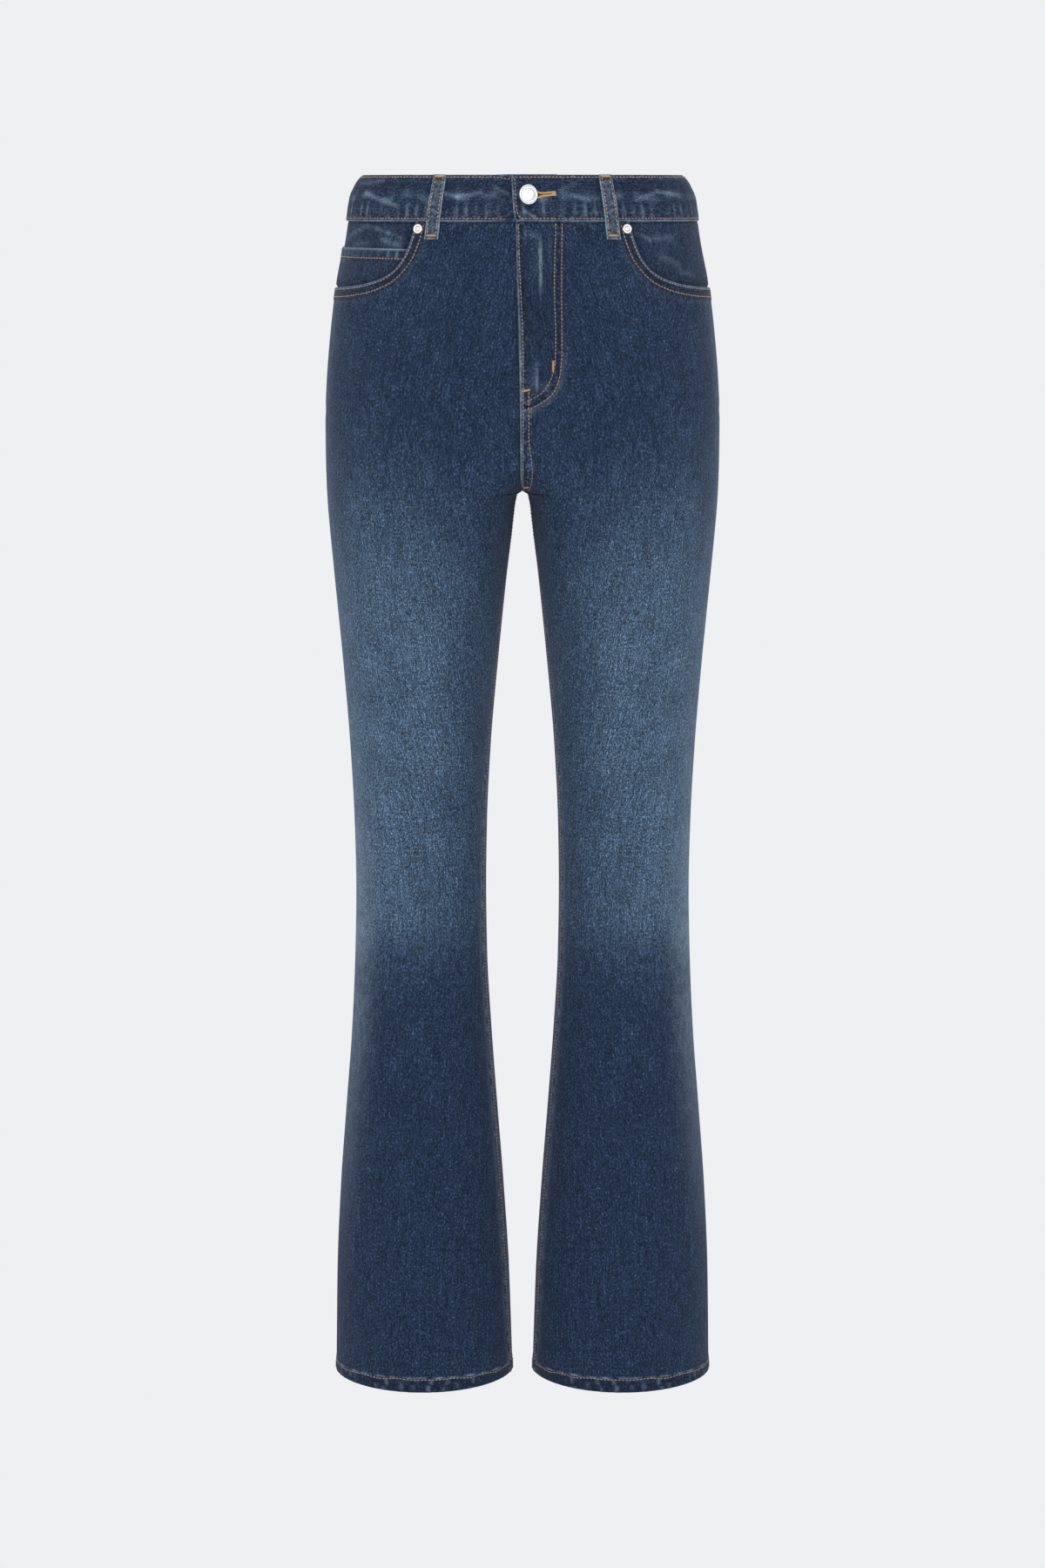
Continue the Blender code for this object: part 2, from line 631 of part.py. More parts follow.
def turned(name, rings, place, axis_at, finish):
    """A round piece. Each ring is (distance from the cloth, radius, share of the lean)."""
    sides = 20
    angle = np.linspace(0, 2 * math.pi, sides, endpoint=False)
    points = []
    for height, radius, share in rings:
        axis = axis_at(share)
        across = np.cross(axis, (0, 0, 1))
        across /= np.linalg.norm(across)
        up = np.cross(axis, across)
        ring = np.outer(np.cos(angle), across) + np.outer(np.sin(angle), up)
        points.append(place(height, share) + radius * ring)
    faces = [tuple(range(sides - 1, -1, -1))]
    for k in range(len(rings) - 1):
        for i in range(sides):
            a, b = k * sides + i, k * sides + (i + 1) % sides
            faces.append((a, b, b + sides, a + sides))
    faces.append(tuple(range((len(rings) - 1) * sides, len(rings) * sides)))
    return solid(name, np.concatenate(points), faces, finish)


def waist_button(name, finish):
    """A shank through the buttonhole's eyelet, and a cap that leans."""
    s = s_at_x(BUTTON_X, BUTTON_DROP)
    foot = cloth(s, BUTTON_DROP, 0.0)
    straight = cloth(s, BUTTON_DROP, 1.0) - foot
    lean = np.array(
        [
            math.sin(BUTTON_LEAN) * math.cos(BUTTON_RISE),
            -math.cos(BUTTON_LEAN),
            math.sin(BUTTON_LEAN) * math.sin(BUTTON_RISE),
        ]
    )
    neck = foot + straight * 3.2

    def axis_at(share):
        axis = straight * (1 - share) + lean * share
        return axis / np.linalg.norm(axis)

    def place(height, share):
        if share == 0:
            return foot + straight * height
        return neck + axis_at(share) * (height - 3.2)

    base = WAISTBAND_LAYER[1] - UNDERLAP_STEP + SEAM_GAP
    r = BUTTON_RADIUS
    rings = (
        (base, SHANK_RADIUS, 0),
        (2.2, SHANK_RADIUS, 0),
        (3.6, 3.0, 0.6),
        (5.0, 4.2, 1),
        (5.2, r - 1.0, 1),
        (5.6, r - 0.2, 1),
        (6.2, r, 1),
        (6.8, r - 0.3, 1),
        (7.1, r - 1.0, 1),
        (6.9, r - 2.0, 1),
        (6.8, r - 2.4, 1),
        (7.0, 2.5, 1),
    )
    return turned(name, rings, place, axis_at, finish)


def pocket_rivet(name, side, finish):
    """A rivet's cap, at the top corner of a front pocket's mouth."""
    s = s_at_x(RIVET_X, RIVET_DROP)
    foot = cloth(s * side, RIVET_DROP, 0.0)
    axis = cloth(s * side, RIVET_DROP, 1.0) - foot
    r = RIVET_RADIUS
    rings = (
        (0.45, r - 0.5, 0),
        (0.7, r, 0),
        (1.2, r - 0.2, 0),
        (1.7, r - 1.2, 0),
        (1.5, r - 2.0, 0),
        (1.8, 1.2, 0),
    )
    return turned(name, rings, lambda height, share: foot + axis * height, lambda share: axis, finish)


for thing in list(bpy.data.objects):
    bpy.data.objects.remove(thing)

FLY_END = WAISTBAND + FLY_LENGTH
DENIM_BLUE = material("denim", (0.055, 0.090, 0.165), 0.85)
DENIM_DARK = material("denim_trim", (0.035, 0.058, 0.115), 0.85)
NICKEL = material("nickel", (0.78, 0.78, 0.76), 0.28, 1.0)

front_panel("front_left", 1, DENIM_BLUE)
front_panel("front_right", -1, DENIM_BLUE)
back_panel("back_left", 1, DENIM_BLUE)
back_panel("back_right", -1, DENIM_BLUE)
yoke("yoke_left", 1, DENIM_BLUE)
yoke("yoke_right", -1, DENIM_BLUE)
band = waistband("waistband", DENIM_DARK)
keyhole = band.modifiers.new("buttonhole", "BOOLEAN")
keyhole.object = buttonhole_cutter("buttonhole_cutter")
fly_shield("fly_shield", DENIM_DARK)
pocket_facing("pocket_facing_left", 1, DENIM_DARK)
pocket_facing("pocket_facing_right", -1, DENIM_DARK)
coin_pocket("coin_pocket", DENIM_DARK)
back_pocket("back_pocket_left", 1, DENIM_BLUE)
back_pocket("back_pocket_right", -1, DENIM_BLUE)
belt_loop("belt_loop_front_left", 1, front_loop_line, DENIM_DARK)
belt_loop("belt_loop_front_right", -1, front_loop_line, DENIM_DARK)
belt_loop("belt_loop_back_left", 1, lambda drop: LOOP_BACK, DENIM_DARK)
belt_loop("belt_loop_back_right", -1, lambda drop: LOOP_BACK, DENIM_DARK)
belt_loop("belt_loop_back_middle", 1, lambda drop: 2.0, DENIM_DARK)
waist_button("waist_button", NICKEL)
pocket_rivet("rivet_left", 1, NICKEL)
pocket_rivet("rivet_right", -1, NICKEL)
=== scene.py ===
# %% [markdown]
# # Jeans with a high waist and a flared leg
# These are five-pocket jeans in washed indigo denim, standing filled out as if worn. The CAD model of them
# is already packed, as a set of plain walls of cloth. This script loads that model as a frame that never
# moves, and lays a finely shaped and coloured piece of denim over each wall, then the sewing, the button
# and the rivets. Each cell makes one thing, and the text before it says what the thing is on real jeans.

# %% Load the frame
import math

import bpy
import numpy as np
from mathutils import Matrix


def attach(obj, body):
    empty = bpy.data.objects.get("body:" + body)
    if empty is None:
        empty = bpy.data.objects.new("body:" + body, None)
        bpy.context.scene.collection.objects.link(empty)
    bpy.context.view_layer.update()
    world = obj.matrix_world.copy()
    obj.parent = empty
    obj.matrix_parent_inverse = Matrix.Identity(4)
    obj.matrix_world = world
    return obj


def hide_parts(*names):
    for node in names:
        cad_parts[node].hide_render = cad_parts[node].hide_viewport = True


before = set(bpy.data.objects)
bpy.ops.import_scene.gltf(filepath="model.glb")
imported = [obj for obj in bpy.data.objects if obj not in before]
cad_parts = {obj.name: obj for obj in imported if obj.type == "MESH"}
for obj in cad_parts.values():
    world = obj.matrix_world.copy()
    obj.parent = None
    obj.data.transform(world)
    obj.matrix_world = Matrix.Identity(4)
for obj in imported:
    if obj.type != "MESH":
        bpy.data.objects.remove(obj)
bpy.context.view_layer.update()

MM = 0.001

# %% [markdown]
# ## Camera and light
# The photograph is a shop picture: the jeans seem to stand in an even pale grey space. The camera is 3.6 m
# away, at the height of the waist, and looks down a little. The space is a world of one pale grey and a
# floor that glows with the same grey, so no corner or shadow shows.

# %% Camera
CAMERA_PLACE = (0.0, -3.6, 0.005)
CAMERA_TILT = math.radians(81.57)  # from straight down


def placed(name, data):
    """An object with this data, put in the scene."""
    made = bpy.data.objects.new(name, data)
    bpy.context.scene.collection.objects.link(made)
    return made


lens = bpy.data.cameras.new("photo_camera")
lens.lens, lens.sensor_width = 91.67, 36.0
camera = placed("photo_camera", lens)
camera.location = CAMERA_PLACE
camera.rotation_euler = (CAMERA_TILT, 0.0, 0.0)
bpy.context.scene.camera = camera
print("camera looks", round(90 - math.degrees(camera.rotation_euler.x), 2), "degrees down")

# %% Pale studio
STUDIO_GREY = (0.855, 0.871, 0.888, 1.0)
FLOOR_LEVEL = -1.32
FLOOR_HALF = 30.0

bpy.context.scene.view_settings.view_transform = "Standard"
bpy.context.scene.view_settings.look = "None"
studio = bpy.data.worlds.new("studio")
studio.use_nodes = True
sky = studio.node_tree.nodes["Background"].inputs
sky["Color"].default_value, sky["Strength"].default_value = STUDIO_GREY, 1.0
bpy.context.scene.world = studio

paper = bpy.data.materials.new("pale_paper")
paper.use_nodes = True
paper.node_tree.nodes.clear()
glow = paper.node_tree.nodes.new("ShaderNodeEmission")
glow.inputs["Color"].default_value = STUDIO_GREY
glow_out = paper.node_tree.nodes.new("ShaderNodeOutputMaterial")
paper.node_tree.links.new(glow.outputs["Emission"], glow_out.inputs["Surface"])

floor_mesh = bpy.data.meshes.new("floor")
floor_corners = [
    (x * FLOOR_HALF, y * FLOOR_HALF, FLOOR_LEVEL) for x, y in ((-1, -1), (1, -1), (1, 1), (-1, 1))
]
floor_mesh.from_pydata(floor_corners, [], [(0, 1, 2, 3)])
floor_mesh.materials.append(paper)
floor = placed("floor", floor_mesh)


LAMP_AIM = (0, 0, -0.5)  # the middle of the jeans
LAMPS = (
    # name, place, size in m, power in W
    ("key", (-1.7, -3.4, 1.1), 2.2, 42), ("fill", (1.9, -3.2, 0.6), 2.4, 30),
    ("back_light", (0.4, 3.2, 1.2), 2.4, 40),
)
for name, place, size, power in LAMPS:  # square lamps, whose -Z axis points at the aim
    lamp = bpy.data.lights.new(name, "AREA")
    lamp.shape, lamp.size, lamp.energy = "SQUARE", size, power
    holder = placed(name, lamp)
    holder.location = place
    way = holder.location - type(holder.location)(LAMP_AIM)
    holder.rotation_euler = way.to_track_quat("Z", "Y").to_euler()

# %% [markdown]
# ## The cloth's surface
# All the pieces lie on one surface, the worn cloth. A place on it is (s, drop). Drop is the distance below
# the waistband's top edge, in millimetres. s runs round half the garment: 0 is the centre front or the
# inseam, 1 the outseam, 2 the centre back or the inseam again, and a negative s is the same place on the
# wearer's right. Each level of the surface is an oval. Its sizes come from the same tables that the CAD
# model was made from, so a piece laid on this surface lies on the frame with no fitting.

# %% Tables of the outline
LENGTH = 1100.0  # waistband's top edge to the hem
WAISTBAND = 40.5  # its height
CROTCH = 279.0
SEAM_GAP = 0.3  # between two CAD pieces
HEM = 12.5  # height of its band
HEM_LIFT = 3.0  # how much higher its edge lies at the seams
FLY_END = WAISTBAND + 164.0
SIDE_TURN = math.radians(7)  # direction of the outseam, a little behind the leg's outermost place

OUTLINE = (
    # drop, outer, inner, middle, front, back
    (0, 141.0, -141.0, 0.0, 86.0, 91.0),
    (3, 144.6, -144.6, 0.0, 87.6, 92.6),
    (8, 148.4, -148.4, 0.0, 89.6, 94.8),
    (16, 152.0, -152.0, 0.0, 91.8, 97.2),
    (27, 155.1, -155.1, 0.0, 94.4, 99.8),
    (41, 156.9, -156.9, 0.0, 97.0, 102.4),
    (61, 160.0, -160.0, 0.0, 100.2, 106.6),
    (92, 166.2, -166.2, 0.0, 104.6, 114.0),
    (123, 170.5, -164.5, 3.0, 107.8, 120.6),
    (154, 173.8, -148.0, 13.0, 109.8, 125.2),
    (185, 176.2, -118.0, 29.0, 110.4, 127.0),
    (215, 177.4, -82.0, 47.5, 109.8, 125.4),
    (240, 177.3, -50.0, 63.0, 108.4, 121.0),
    (258, 177.0, -27.0, 73.4, 107.2, 116.4),
    (270, 176.6, -11.0, 79.4, 106.2, 112.8),
    (276, 176.4, -3.4, 82.0, 105.7, 111.0),
    (CROTCH, 176.3, 0.15, 83.2, 105.4, 110.1),
    (280.5, 176.2, 3.4, 83.8, 105.3, 109.7),
    (284, 176.0, 5.8, 85.0, 105.0, 108.7),
    (294, 175.4, 7.6, 87.6, 104.2, 106.1),
    (318, 173.4, 9.8, 90.4, 102.2, 101.8),
    (366, 169.0, 15.2, 92.0, 97.4, 96.8),
    (437, 162.4, 22.4, 92.4, 88.6, 88.0),
    (509, 156.7, 28.7, 92.7, 78.6, 74.6),
    (581, 153.0, 32.3, 92.7, 69.6, 61.6),
    (641, 151.8, 33.2, 92.6, 65.0, 57.6),
    (702, 153.1, 32.4, 92.8, 63.4, 60.6),
    (775, 156.6, 28.5, 92.6, 64.2, 66.4),
    (849, 162.4, 23.1, 92.8, 66.6, 70.6),
    (923, 168.0, 17.4, 92.6, 69.6, 73.0),
    (998, 171.6, 12.7, 92.2, 72.2, 74.4),
    (LENGTH, 173.3, 9.2, 91.2, 74.2, 75.2),
)
ROUNDNESS = (
    # drop, front_outer, front_inner, back_outer, back_inner
    (0, 2.30, 2.30, 2.15, 2.15),
    (92, 2.35, 2.40, 2.15, 2.15),
    (185, 2.30, 2.70, 2.15, 2.35),
    (258, 2.22, 3.30, 2.12, 2.65),
    (CROTCH, 2.20, 3.60, 2.10, 2.80),
    (294, 2.18, 3.65, 2.10, 2.85),
    (325, 2.15, 3.00, 2.08, 2.50),
    (380, 2.12, 2.40, 2.08, 2.20),
    (460, 2.10, 2.15, 2.08, 2.08),
    (LENGTH, 2.05, 2.05, 2.05, 2.05),
)
# for each drop: the degrees by which the inseam lies ahead of the innermost place, and the mm by which the
# left front and the waistband's upper end reach past the middle
INSEAM_TURN = ((CROTCH, 0.0), (294, 12.0), (340, 15.0), (1000, 16.0), (LENGTH, 10.0))
FRONT_EDGE = ((0, 5.6), (44, 5.6), (165, 1.6), (268, 1.6), (CROTCH, 0.0))
TAB_EDGE = ((0, 9.2), (28, 7.9), (37, 6.6), (WAISTBAND, 4.4))
POCKET_MOUTH = (
    # share, s, drop
    (0.0, 0.428, WAISTBAND + SEAM_GAP),
    (0.1, 0.435, 50.2),
    (0.2, 0.444, 59.6),
    (0.3, 0.455, 69.0),
    (0.4, 0.477, 78.6),
    (0.5, 0.512, 86.4),
    (0.6, 0.566, 91.8),
    (0.7, 0.630, 95.4),
    (0.8, 0.720, 97.6),
    (0.9, 0.850, 98.9),
    (1.0, 1.000, 99.6),
)
print("levels in the outline table:", len(OUTLINE))


# %% Reading the tables
def read(table, drop):
    """The table's other columns at each drop: a cubic between two rows whose slopes there are the harmonic
    mean of the slopes on both sides, so it never overshoots a row."""
    rows = np.array(table, float)
    x, y = rows[:, 0], rows[:, 1:]
    step = np.diff(x)[:, None]
    rise_rate = np.diff(y, axis=0) / step
    slope = np.zeros_like(y)
    same_way = rise_rate[:-1] * rise_rate[1:] > 0
    steeper = np.where(same_way, rise_rate[:-1] + rise_rate[1:], 1.0)
    slope[1:-1] = np.where(same_way, 2 * rise_rate[:-1] * rise_rate[1:] / steeper, 0.0)
    slope[0], slope[-1] = rise_rate[0], rise_rate[-1]
    drop = np.clip(np.asarray(drop, float), x[0], x[-1])
    i = np.clip(np.searchsorted(x, drop, side="right") - 1, 0, len(x) - 2)
    h = step[i, 0][..., None]
    t = (drop - x[i])[..., None] / h
    value = (
        y[i] * (1 + 2 * t) * (1 - t) ** 2
        + y[i + 1] * t * t * (3 - 2 * t)
        + slope[i] * h * t * (1 - t) ** 2
        - slope[i + 1] * h * t * t * (1 - t)
    )
    return [value[..., k] for k in range(y.shape[1])]


def oval(drop):
    """Middle of one leg's oval, across and front to back, and its half size outwards, inwards and along."""
    outer, inner, middle, front, back = read(OUTLINE, drop)
    return middle, (back - front) / 2, outer - middle, middle - inner, (back + front) / 2


def power_at(across, along, drop):
    """The oval's power in the quarter that a direction points into: 2 is an ellipse, more is squarer."""
    front_outer, front_inner, back_outer, back_inner = read(ROUNDNESS, drop)
    front = np.where(across > 0, front_outer, front_inner)
    back = np.where(across > 0, back_outer, back_inner)
    return np.where(along < 0, front, back)


def on_oval(turn, drop):
    """The oval's point in the direction turn, where |x/a|^p + |y/b|^p = 1. 0 is outwards, -90 degrees the
    front."""
    middle_x, middle_y, half_out, half_in, half_y = oval(drop)
    across, along = np.cos(turn), np.sin(turn)
    power = power_at(across, along, drop)
    reach = (np.abs(across) ** power + np.abs(along) ** power) ** (-1 / power)
    half_x = np.where(across > 0, half_out, half_in)
    return middle_x + half_x * reach * across, middle_y + half_y * reach * along


def field(x, y, drop):
    """|x/a|^p + |y/b|^p: under 1 inside the leg's oval, 1 on the cloth and more outside it."""
    middle_x, middle_y, half_out, half_in, half_y = oval(drop)
    across, along = x - middle_x, (y - middle_y) / half_y
    across = across / np.where(across > 0, half_out, half_in)
    power = power_at(across, along, drop)
    return np.abs(across) ** power + np.abs(along) ** power


print("half size of a leg at the knee, mm:", [round(float(v), 1) for v in oval(np.array(641.0))])


# %% [markdown]
# A section's points are found by their direction from the middle of the oval, but cloth is measured along
# its own length. So each section is walked once, from the outseam to the front and to the back, and two
# tables keep what was found: the direction of each s, and how many millimetres it lies from the outseam.

# %% Walking round the sections
WALK_STEPS = 160
EVEN_SHARE = 0.55  # this much of a half, from the outseam, keeps an even width past the crotch
# between these levels the even width is smooth
EVEN_LEVELS = (0, 20, 41, 80, 120, 160, 200, 234, 330, 370, 437, 509, 581, 641, 702, 775, 849, 998, LENGTH)
LEVELS = np.unique(
    np.concatenate([np.arange(0, 262, 4.0), np.arange(262, 300, 0.5), np.arange(300, 1101, 8.0)])
)


def end_turns(drop):
    """The directions in which a half section starts, at the front, and ends, at the back: where the oval
    meets the middle plane, or past the crotch its innermost point, turned forward to the inseam."""
    middle_x, _, _, half_in, _ = oval(drop)
    _, front_inner, _, back_inner = read(ROUNDNESS, drop)
    share = np.clip((middle_x - SEAM_GAP / 2) / half_in, -1, 1)
    (forward,) = read(INSEAM_TURN, drop)
    front = np.arctan2(-((1 - np.abs(share) ** front_inner) ** (1 / front_inner)), -share)
    back = np.arctan2((1 - np.abs(share) ** back_inner) ** (1 / back_inner), -share)
    front = np.where(front > 0, front - 2 * math.pi, front)
    return front + np.radians(forward), back + np.radians(forward)


def walk(ahead, drop):
    """Directions from the outseam to the front or back end of each section, and the length walked up to
    each."""
    stop = end_turns(drop)[0 if ahead else 1]
    turns = SIDE_TURN + (stop - SIDE_TURN)[:, None] * np.linspace(0, 1, WALK_STEPS)
    x, y = on_oval(turns, drop[:, None])
    steps = np.hypot(np.diff(x), np.diff(y))
    return turns, np.concatenate([np.zeros((len(drop), 1)), np.cumsum(steps, 1)], 1)


def section_tables():
    """For each level and each s, the direction and the distance from the outseam. Near the crotch only the
    cloth next to the inseam takes up the sudden change of the section's length."""
    turns, distances = [], []
    share = np.linspace(0, 1, 101)
    for ahead, even in zip((True, False), read(EVEN_REACH, LEVELS)):
        way, run = walk(ahead, LEVELS)
        taken_up = np.clip((share - EVEN_SHARE) / (1 - EVEN_SHARE), 0, 1) ** 2
        target = share * even[:, None] + taken_up * (run[:, -1:] - even[:, None])
        turns.append(np.array([np.interp(t, r, w) for t, r, w in zip(target, run, way)]))
        distances.append(target)
    join = lambda front, back: np.concatenate([front[:, ::-1], back[:, 1:]], 1)
    return join(*turns), join(*distances)


even_levels = np.array(EVEN_LEVELS, float)
EVEN_REACH = np.stack([even_levels] + [walk(way, even_levels)[1][:, -1] for way in (True, False)], 1)
TURNS, DISTANCES = section_tables()


def look_up(table, s, drop):
    """The table's value at each place, in straight lines between its levels and its steps of s."""
    s, drop = np.broadcast_arrays(np.abs(s), drop)
    i = np.clip(np.searchsorted(LEVELS, drop, side="right") - 1, 0, len(LEVELS) - 2)
    f = np.clip((drop - LEVELS[i]) / (LEVELS[i + 1] - LEVELS[i]), 0, 1)
    j = np.clip((s * 100).astype(int), 0, 199)
    g = s * 100 - j
    upper = table[i, j] * (1 - g) + table[i, j + 1] * g
    lower = table[i + 1, j] * (1 - g) + table[i + 1, j + 1] * g
    return upper * (1 - f) + lower * f


print(
    "section tables:", TURNS.shape, "waist half length, mm:",
    round(float(DISTANCES[0, 0] + DISTANCES[0, -1]), 1)
)


# %% Points of the cloth
def unit(vectors):
    """Each vector divided by its length."""
    return vectors / np.linalg.norm(vectors, axis=-1, keepdims=True)


def cloth_frame(s, drop):
    """The cloth's points, and its outward normals: the slope of the field from e before a point to e after
    it, in each direction."""
    s, drop = (v.astype(float) for v in np.broadcast_arrays(s, drop))
    x, y = on_oval(look_up(TURNS, s, drop), drop)
    e = 0.02  # mm
    ways = (
        field(x + e, y, drop) - field(x - e, y, drop), field(x, y + e, drop) - field(x, y - e, drop),
        field(x, y, drop - e) - field(x, y, drop + e)
    )
    normal = unit(np.stack(ways, -1))
    points = np.stack([x, y, WAISTBAND / 2 - drop], -1)
    flip = np.stack([np.where(s < 0, -1.0, 1.0), np.ones_like(s), np.ones_like(s)], -1)
    return points * flip, normal * flip


def cloth(s, drop, offset=0.0):
    """The cloth's points moved out along the normal by offset, in millimetres."""
    points, normal = cloth_frame(s, drop)
    return points + normal * (np.zeros(points.shape[:-1]) + offset)[..., None]


def from_outseam(s, drop):
    """Millimetres along the section from the outseam."""
    return look_up(DISTANCES, s, drop)


def from_middle(s, drop):
    """Millimetres along the section from the centre or the inseam, negative past the centre front."""
    s = np.asarray(s, float)
    end = look_up(DISTANCES, np.where(s > 1, 2.0, 0.0), drop)
    return (end - from_outseam(s, drop)) * np.where(s < 0, -1.0, 1.0)


def half_length(ahead, drop):
    """Length of the front or the back half of each section."""
    front, back = read(EVEN_REACH, drop)
    return front if ahead else back


def s_at_x(x, drop):
    """The s of the front's point that lies x from the middle plane, for one drop or several."""
    s = np.linspace(0, 0.9, 220)
    across = cloth(s, np.atleast_1d(np.asarray(drop, float))[:, None])[..., 0]
    x = np.broadcast_to(np.asarray(x, float), (len(across),))
    found = np.array([np.interp(abs(a), row, s) for a, row in zip(x, across)])
    return found * np.where(x < 0, -1, 1)


print("a point of the left hip, mm:", cloth(0.5, 150.0).round(1))

# %% [markdown]
# ## Shaping a seam
# Where denim is sewn, it is doubled, so it stands up in a low step. Its fold is round, the thread pulls a
# small groove, and the wash rubs the dye off what stands up and leaves it in what lies low. That could be
# sculpted by hand, but jeans have metres of it. Here each seam is a function of the distance from its line,
# and gives four numbers for every place: the lift in millimetres, how much it is rubbed, how mottled it is
# by small puckers, and how dark it is: dye left unfaded where the cloth lies low, and painted shade beside
# the edges of layers that lie over others.

# %% Small curves
# the fourth layer darkens the colour: unfaded dye where the cloth lies low, and painted shade by overlaps
LIFT, RUB, PUCKER, DYE_AND_SHADE = range(4)
FAR = 90.0  # mm, past the reach of every seam
DOUBLE_ROW = (1.9, 7.6)  # mm from a felled seam's fold to its two rows of stitches


def rise(value, start, end):
    """0 before start, 1 after end, and between them the smooth curve 3t^2 - 2t^3."""
    t = np.clip((value - start) / (end - start), 0, 1)
    return t * t * (3 - 2 * t)


def hill(value, middle, half_width):
    """1 at the middle and 0 past half_width from it: (1 - t^2)^2."""
    t = np.clip(np.abs(value - middle) / half_width, 0, 1)
    return (1 - t * t) ** 2


def bell(distance, width):
    """1 at no distance and fading evenly: e^-(distance / width)^2."""
    return np.exp(-((distance / width) ** 2))


def rounded(distance, radius):
    """How far a round edge falls back, at each distance in from it: a quarter of a circle."""
    t = 1 - np.clip(distance / radius, 0, 1)
    return radius * (1 - np.sqrt(np.clip(1 - t * t, 0, 1)))


def wavering(along, length, seed):
    """A smooth random wave, about -1 to 1: the mean of five sines whose lengths lie round the given one."""
    chance = np.random.default_rng(seed)
    turn = 2 * math.pi / (length * chance.uniform(0.6, 1.7, 5))
    phase = chance.uniform(0, 2 * math.pi, 5)
    return np.sin(np.asarray(along)[..., None] * turn + phase).mean(-1) * 1.5


def run_along(points):
    """Distance along a line of points, at each of them: the running sum of its steps' lengths."""
    steps = np.linalg.norm(np.diff(points, axis=0), axis=1)
    return np.concatenate([[0], np.cumsum(steps)])


def marks(lift=0.0, rub=0.0, pucker=0.0, dye_and_shade=0.0):
    """The four numbers of each place, as one array with four layers."""
    return np.stack(np.broadcast_arrays(lift, rub, pucker, dye_and_shade)).astype(float)


def nearest(across, down, line):
    """Distance of each place from a line of points, and how far along the line its nearest point is."""
    best = np.full(np.shape(across), 1e9)
    along = np.zeros(np.shape(across))
    start = 0.0
    for (x0, y0), (x1, y1) in zip(line[:-1], line[1:]):
        dx, dy = x1 - x0, y1 - y0
        length = math.hypot(dx, dy)
        t = np.clip(((across - x0) * dx + (down - y0) * dy) / length**2, 0, 1)
        distance = np.hypot(across - x0 - t * dx, down - y0 - t * dy)
        closer = distance < best
        along = np.where(closer, start + t * length, along)
        best = np.where(closer, distance, best)
        start += length
    return best, along


print("a rounded edge 0.2 mm in falls back by", round(float(rounded(0.2, 1.0)), 2), "mm")


# %% A sewn, doubled edge
def doubled_edge(d, width, rows, thick=0.6, rim=0.8, halo=0.3, dark=0.35, round_off=1.0):
    """d is the distance in from the edge. The cloth is double up to width, with a rounded rim that is
    rubbed pale, a groove and puckers along each row of stitches, dark dye between them and a pale halo past
    them."""
    band = 1 - rise(d, width - 0.4, width + 2.0)
    grooves = sum(hill(d, row, 1.1) for row in rows)
    near_rows = sum(hill(d, row, 2.6) for row in rows)
    return marks(
        thick * band - 0.3 * grooves - rounded(d, round_off),
        rim * bell(d, 0.85) + halo * hill(d, width + 3.6, 5.5),
        0.6 * np.clip(near_rows, 0, 1),
        dark * band * rise(d, 1.0, 2.2) + 0.25 * grooves * rise(d, 1.0, 2.2),
    )


def leg_inseam(m, drop):
    """Distance from the inseam, and FAR above the crotch, where there is none."""
    return np.where(drop > CROTCH - 3, np.maximum(m, 0), FAR)


def plain_seam(d, depth, pucker, dye_and_shade):
    """A seam pressed flat: a dark valley at its line, and a faintly rubbed, puckered strip beside it."""
    return marks(-depth * bell(d, 1.2), 0.2 * hill(d, 5, 5), pucker * hill(d, 3, 5), dye_and_shade * bell(d, 0.9))


def under_band(drop):
    """A panel is pressed in where the waistband is sewn over its top edge, and shade is painted just
    below the band.
    """
    d = drop - WAISTBAND
    return marks(-0.25 * bell(d, 1.5), 0.0, 0.25 * hill(d, 3, 5), 0.35 * bell(d, 2.6))


# %% Where the lines of the front lie
mouth_share = np.linspace(0, 1, 40)
MOUTH_S, MOUTH_DROP = read(POCKET_MOUTH, mouth_share)
MOUTH_LINE = np.stack([from_outseam(MOUTH_S, MOUTH_DROP), MOUTH_DROP], 1)
J_FOOT = 203.4
MOUTH_BAND, MOUTH_ROWS = 10.6, (2.0, 8.6)  # width of the mouth's hem, and its rows of stitches
FLAP_ROW, FORK_ROW, INSEAM_ROW = 2.3, 5.5, 2.4  # from the flap's edge, the middle under the fly, the inseam
J_OUTER = (  # x from the middle and drop of the fly's two rows of stitches
    (34.4, 41.6), (33.9, 99.4), (34.3, 150), (33.7, 165), (32.0, 176), (27.3, 187.6), (19.6, 194.8),
    (6.6, 201.9), (0.4, J_FOOT)
)
J_INNER = (
    (29.0, 41.6), (27.7, 93.4), (28.9, 140), (28.6, 160), (26.6, 171), (19.5, 185.6), (12.0, 191.6),
    (5.3, 194.8), (0.4, 197.0)
)
J_LINE = np.array(J_OUTER)


def mouth_distance(s, drop):
    """Distance of each place from the edge of the pocket's mouth."""
    return nearest(from_outseam(s, drop), drop, MOUTH_LINE)


def sideways(s, drop):
    """How much a place looks to the side: the square of the cosine of its direction."""
    return np.cos(look_up(TURNS, s, drop)) ** 2


def hem_distance(s, drop):
    """Distance up from the hem's edge, which rises a little towards the seams."""
    return LENGTH - HEM_LIFT * sideways(s, drop) - drop


def hem_stitch_height(s, drop):
    """Height of the hem's row of stitches: it runs closer to the edge at the seams."""
    return HEM * (0.97 - 0.3 * sideways(s, drop))


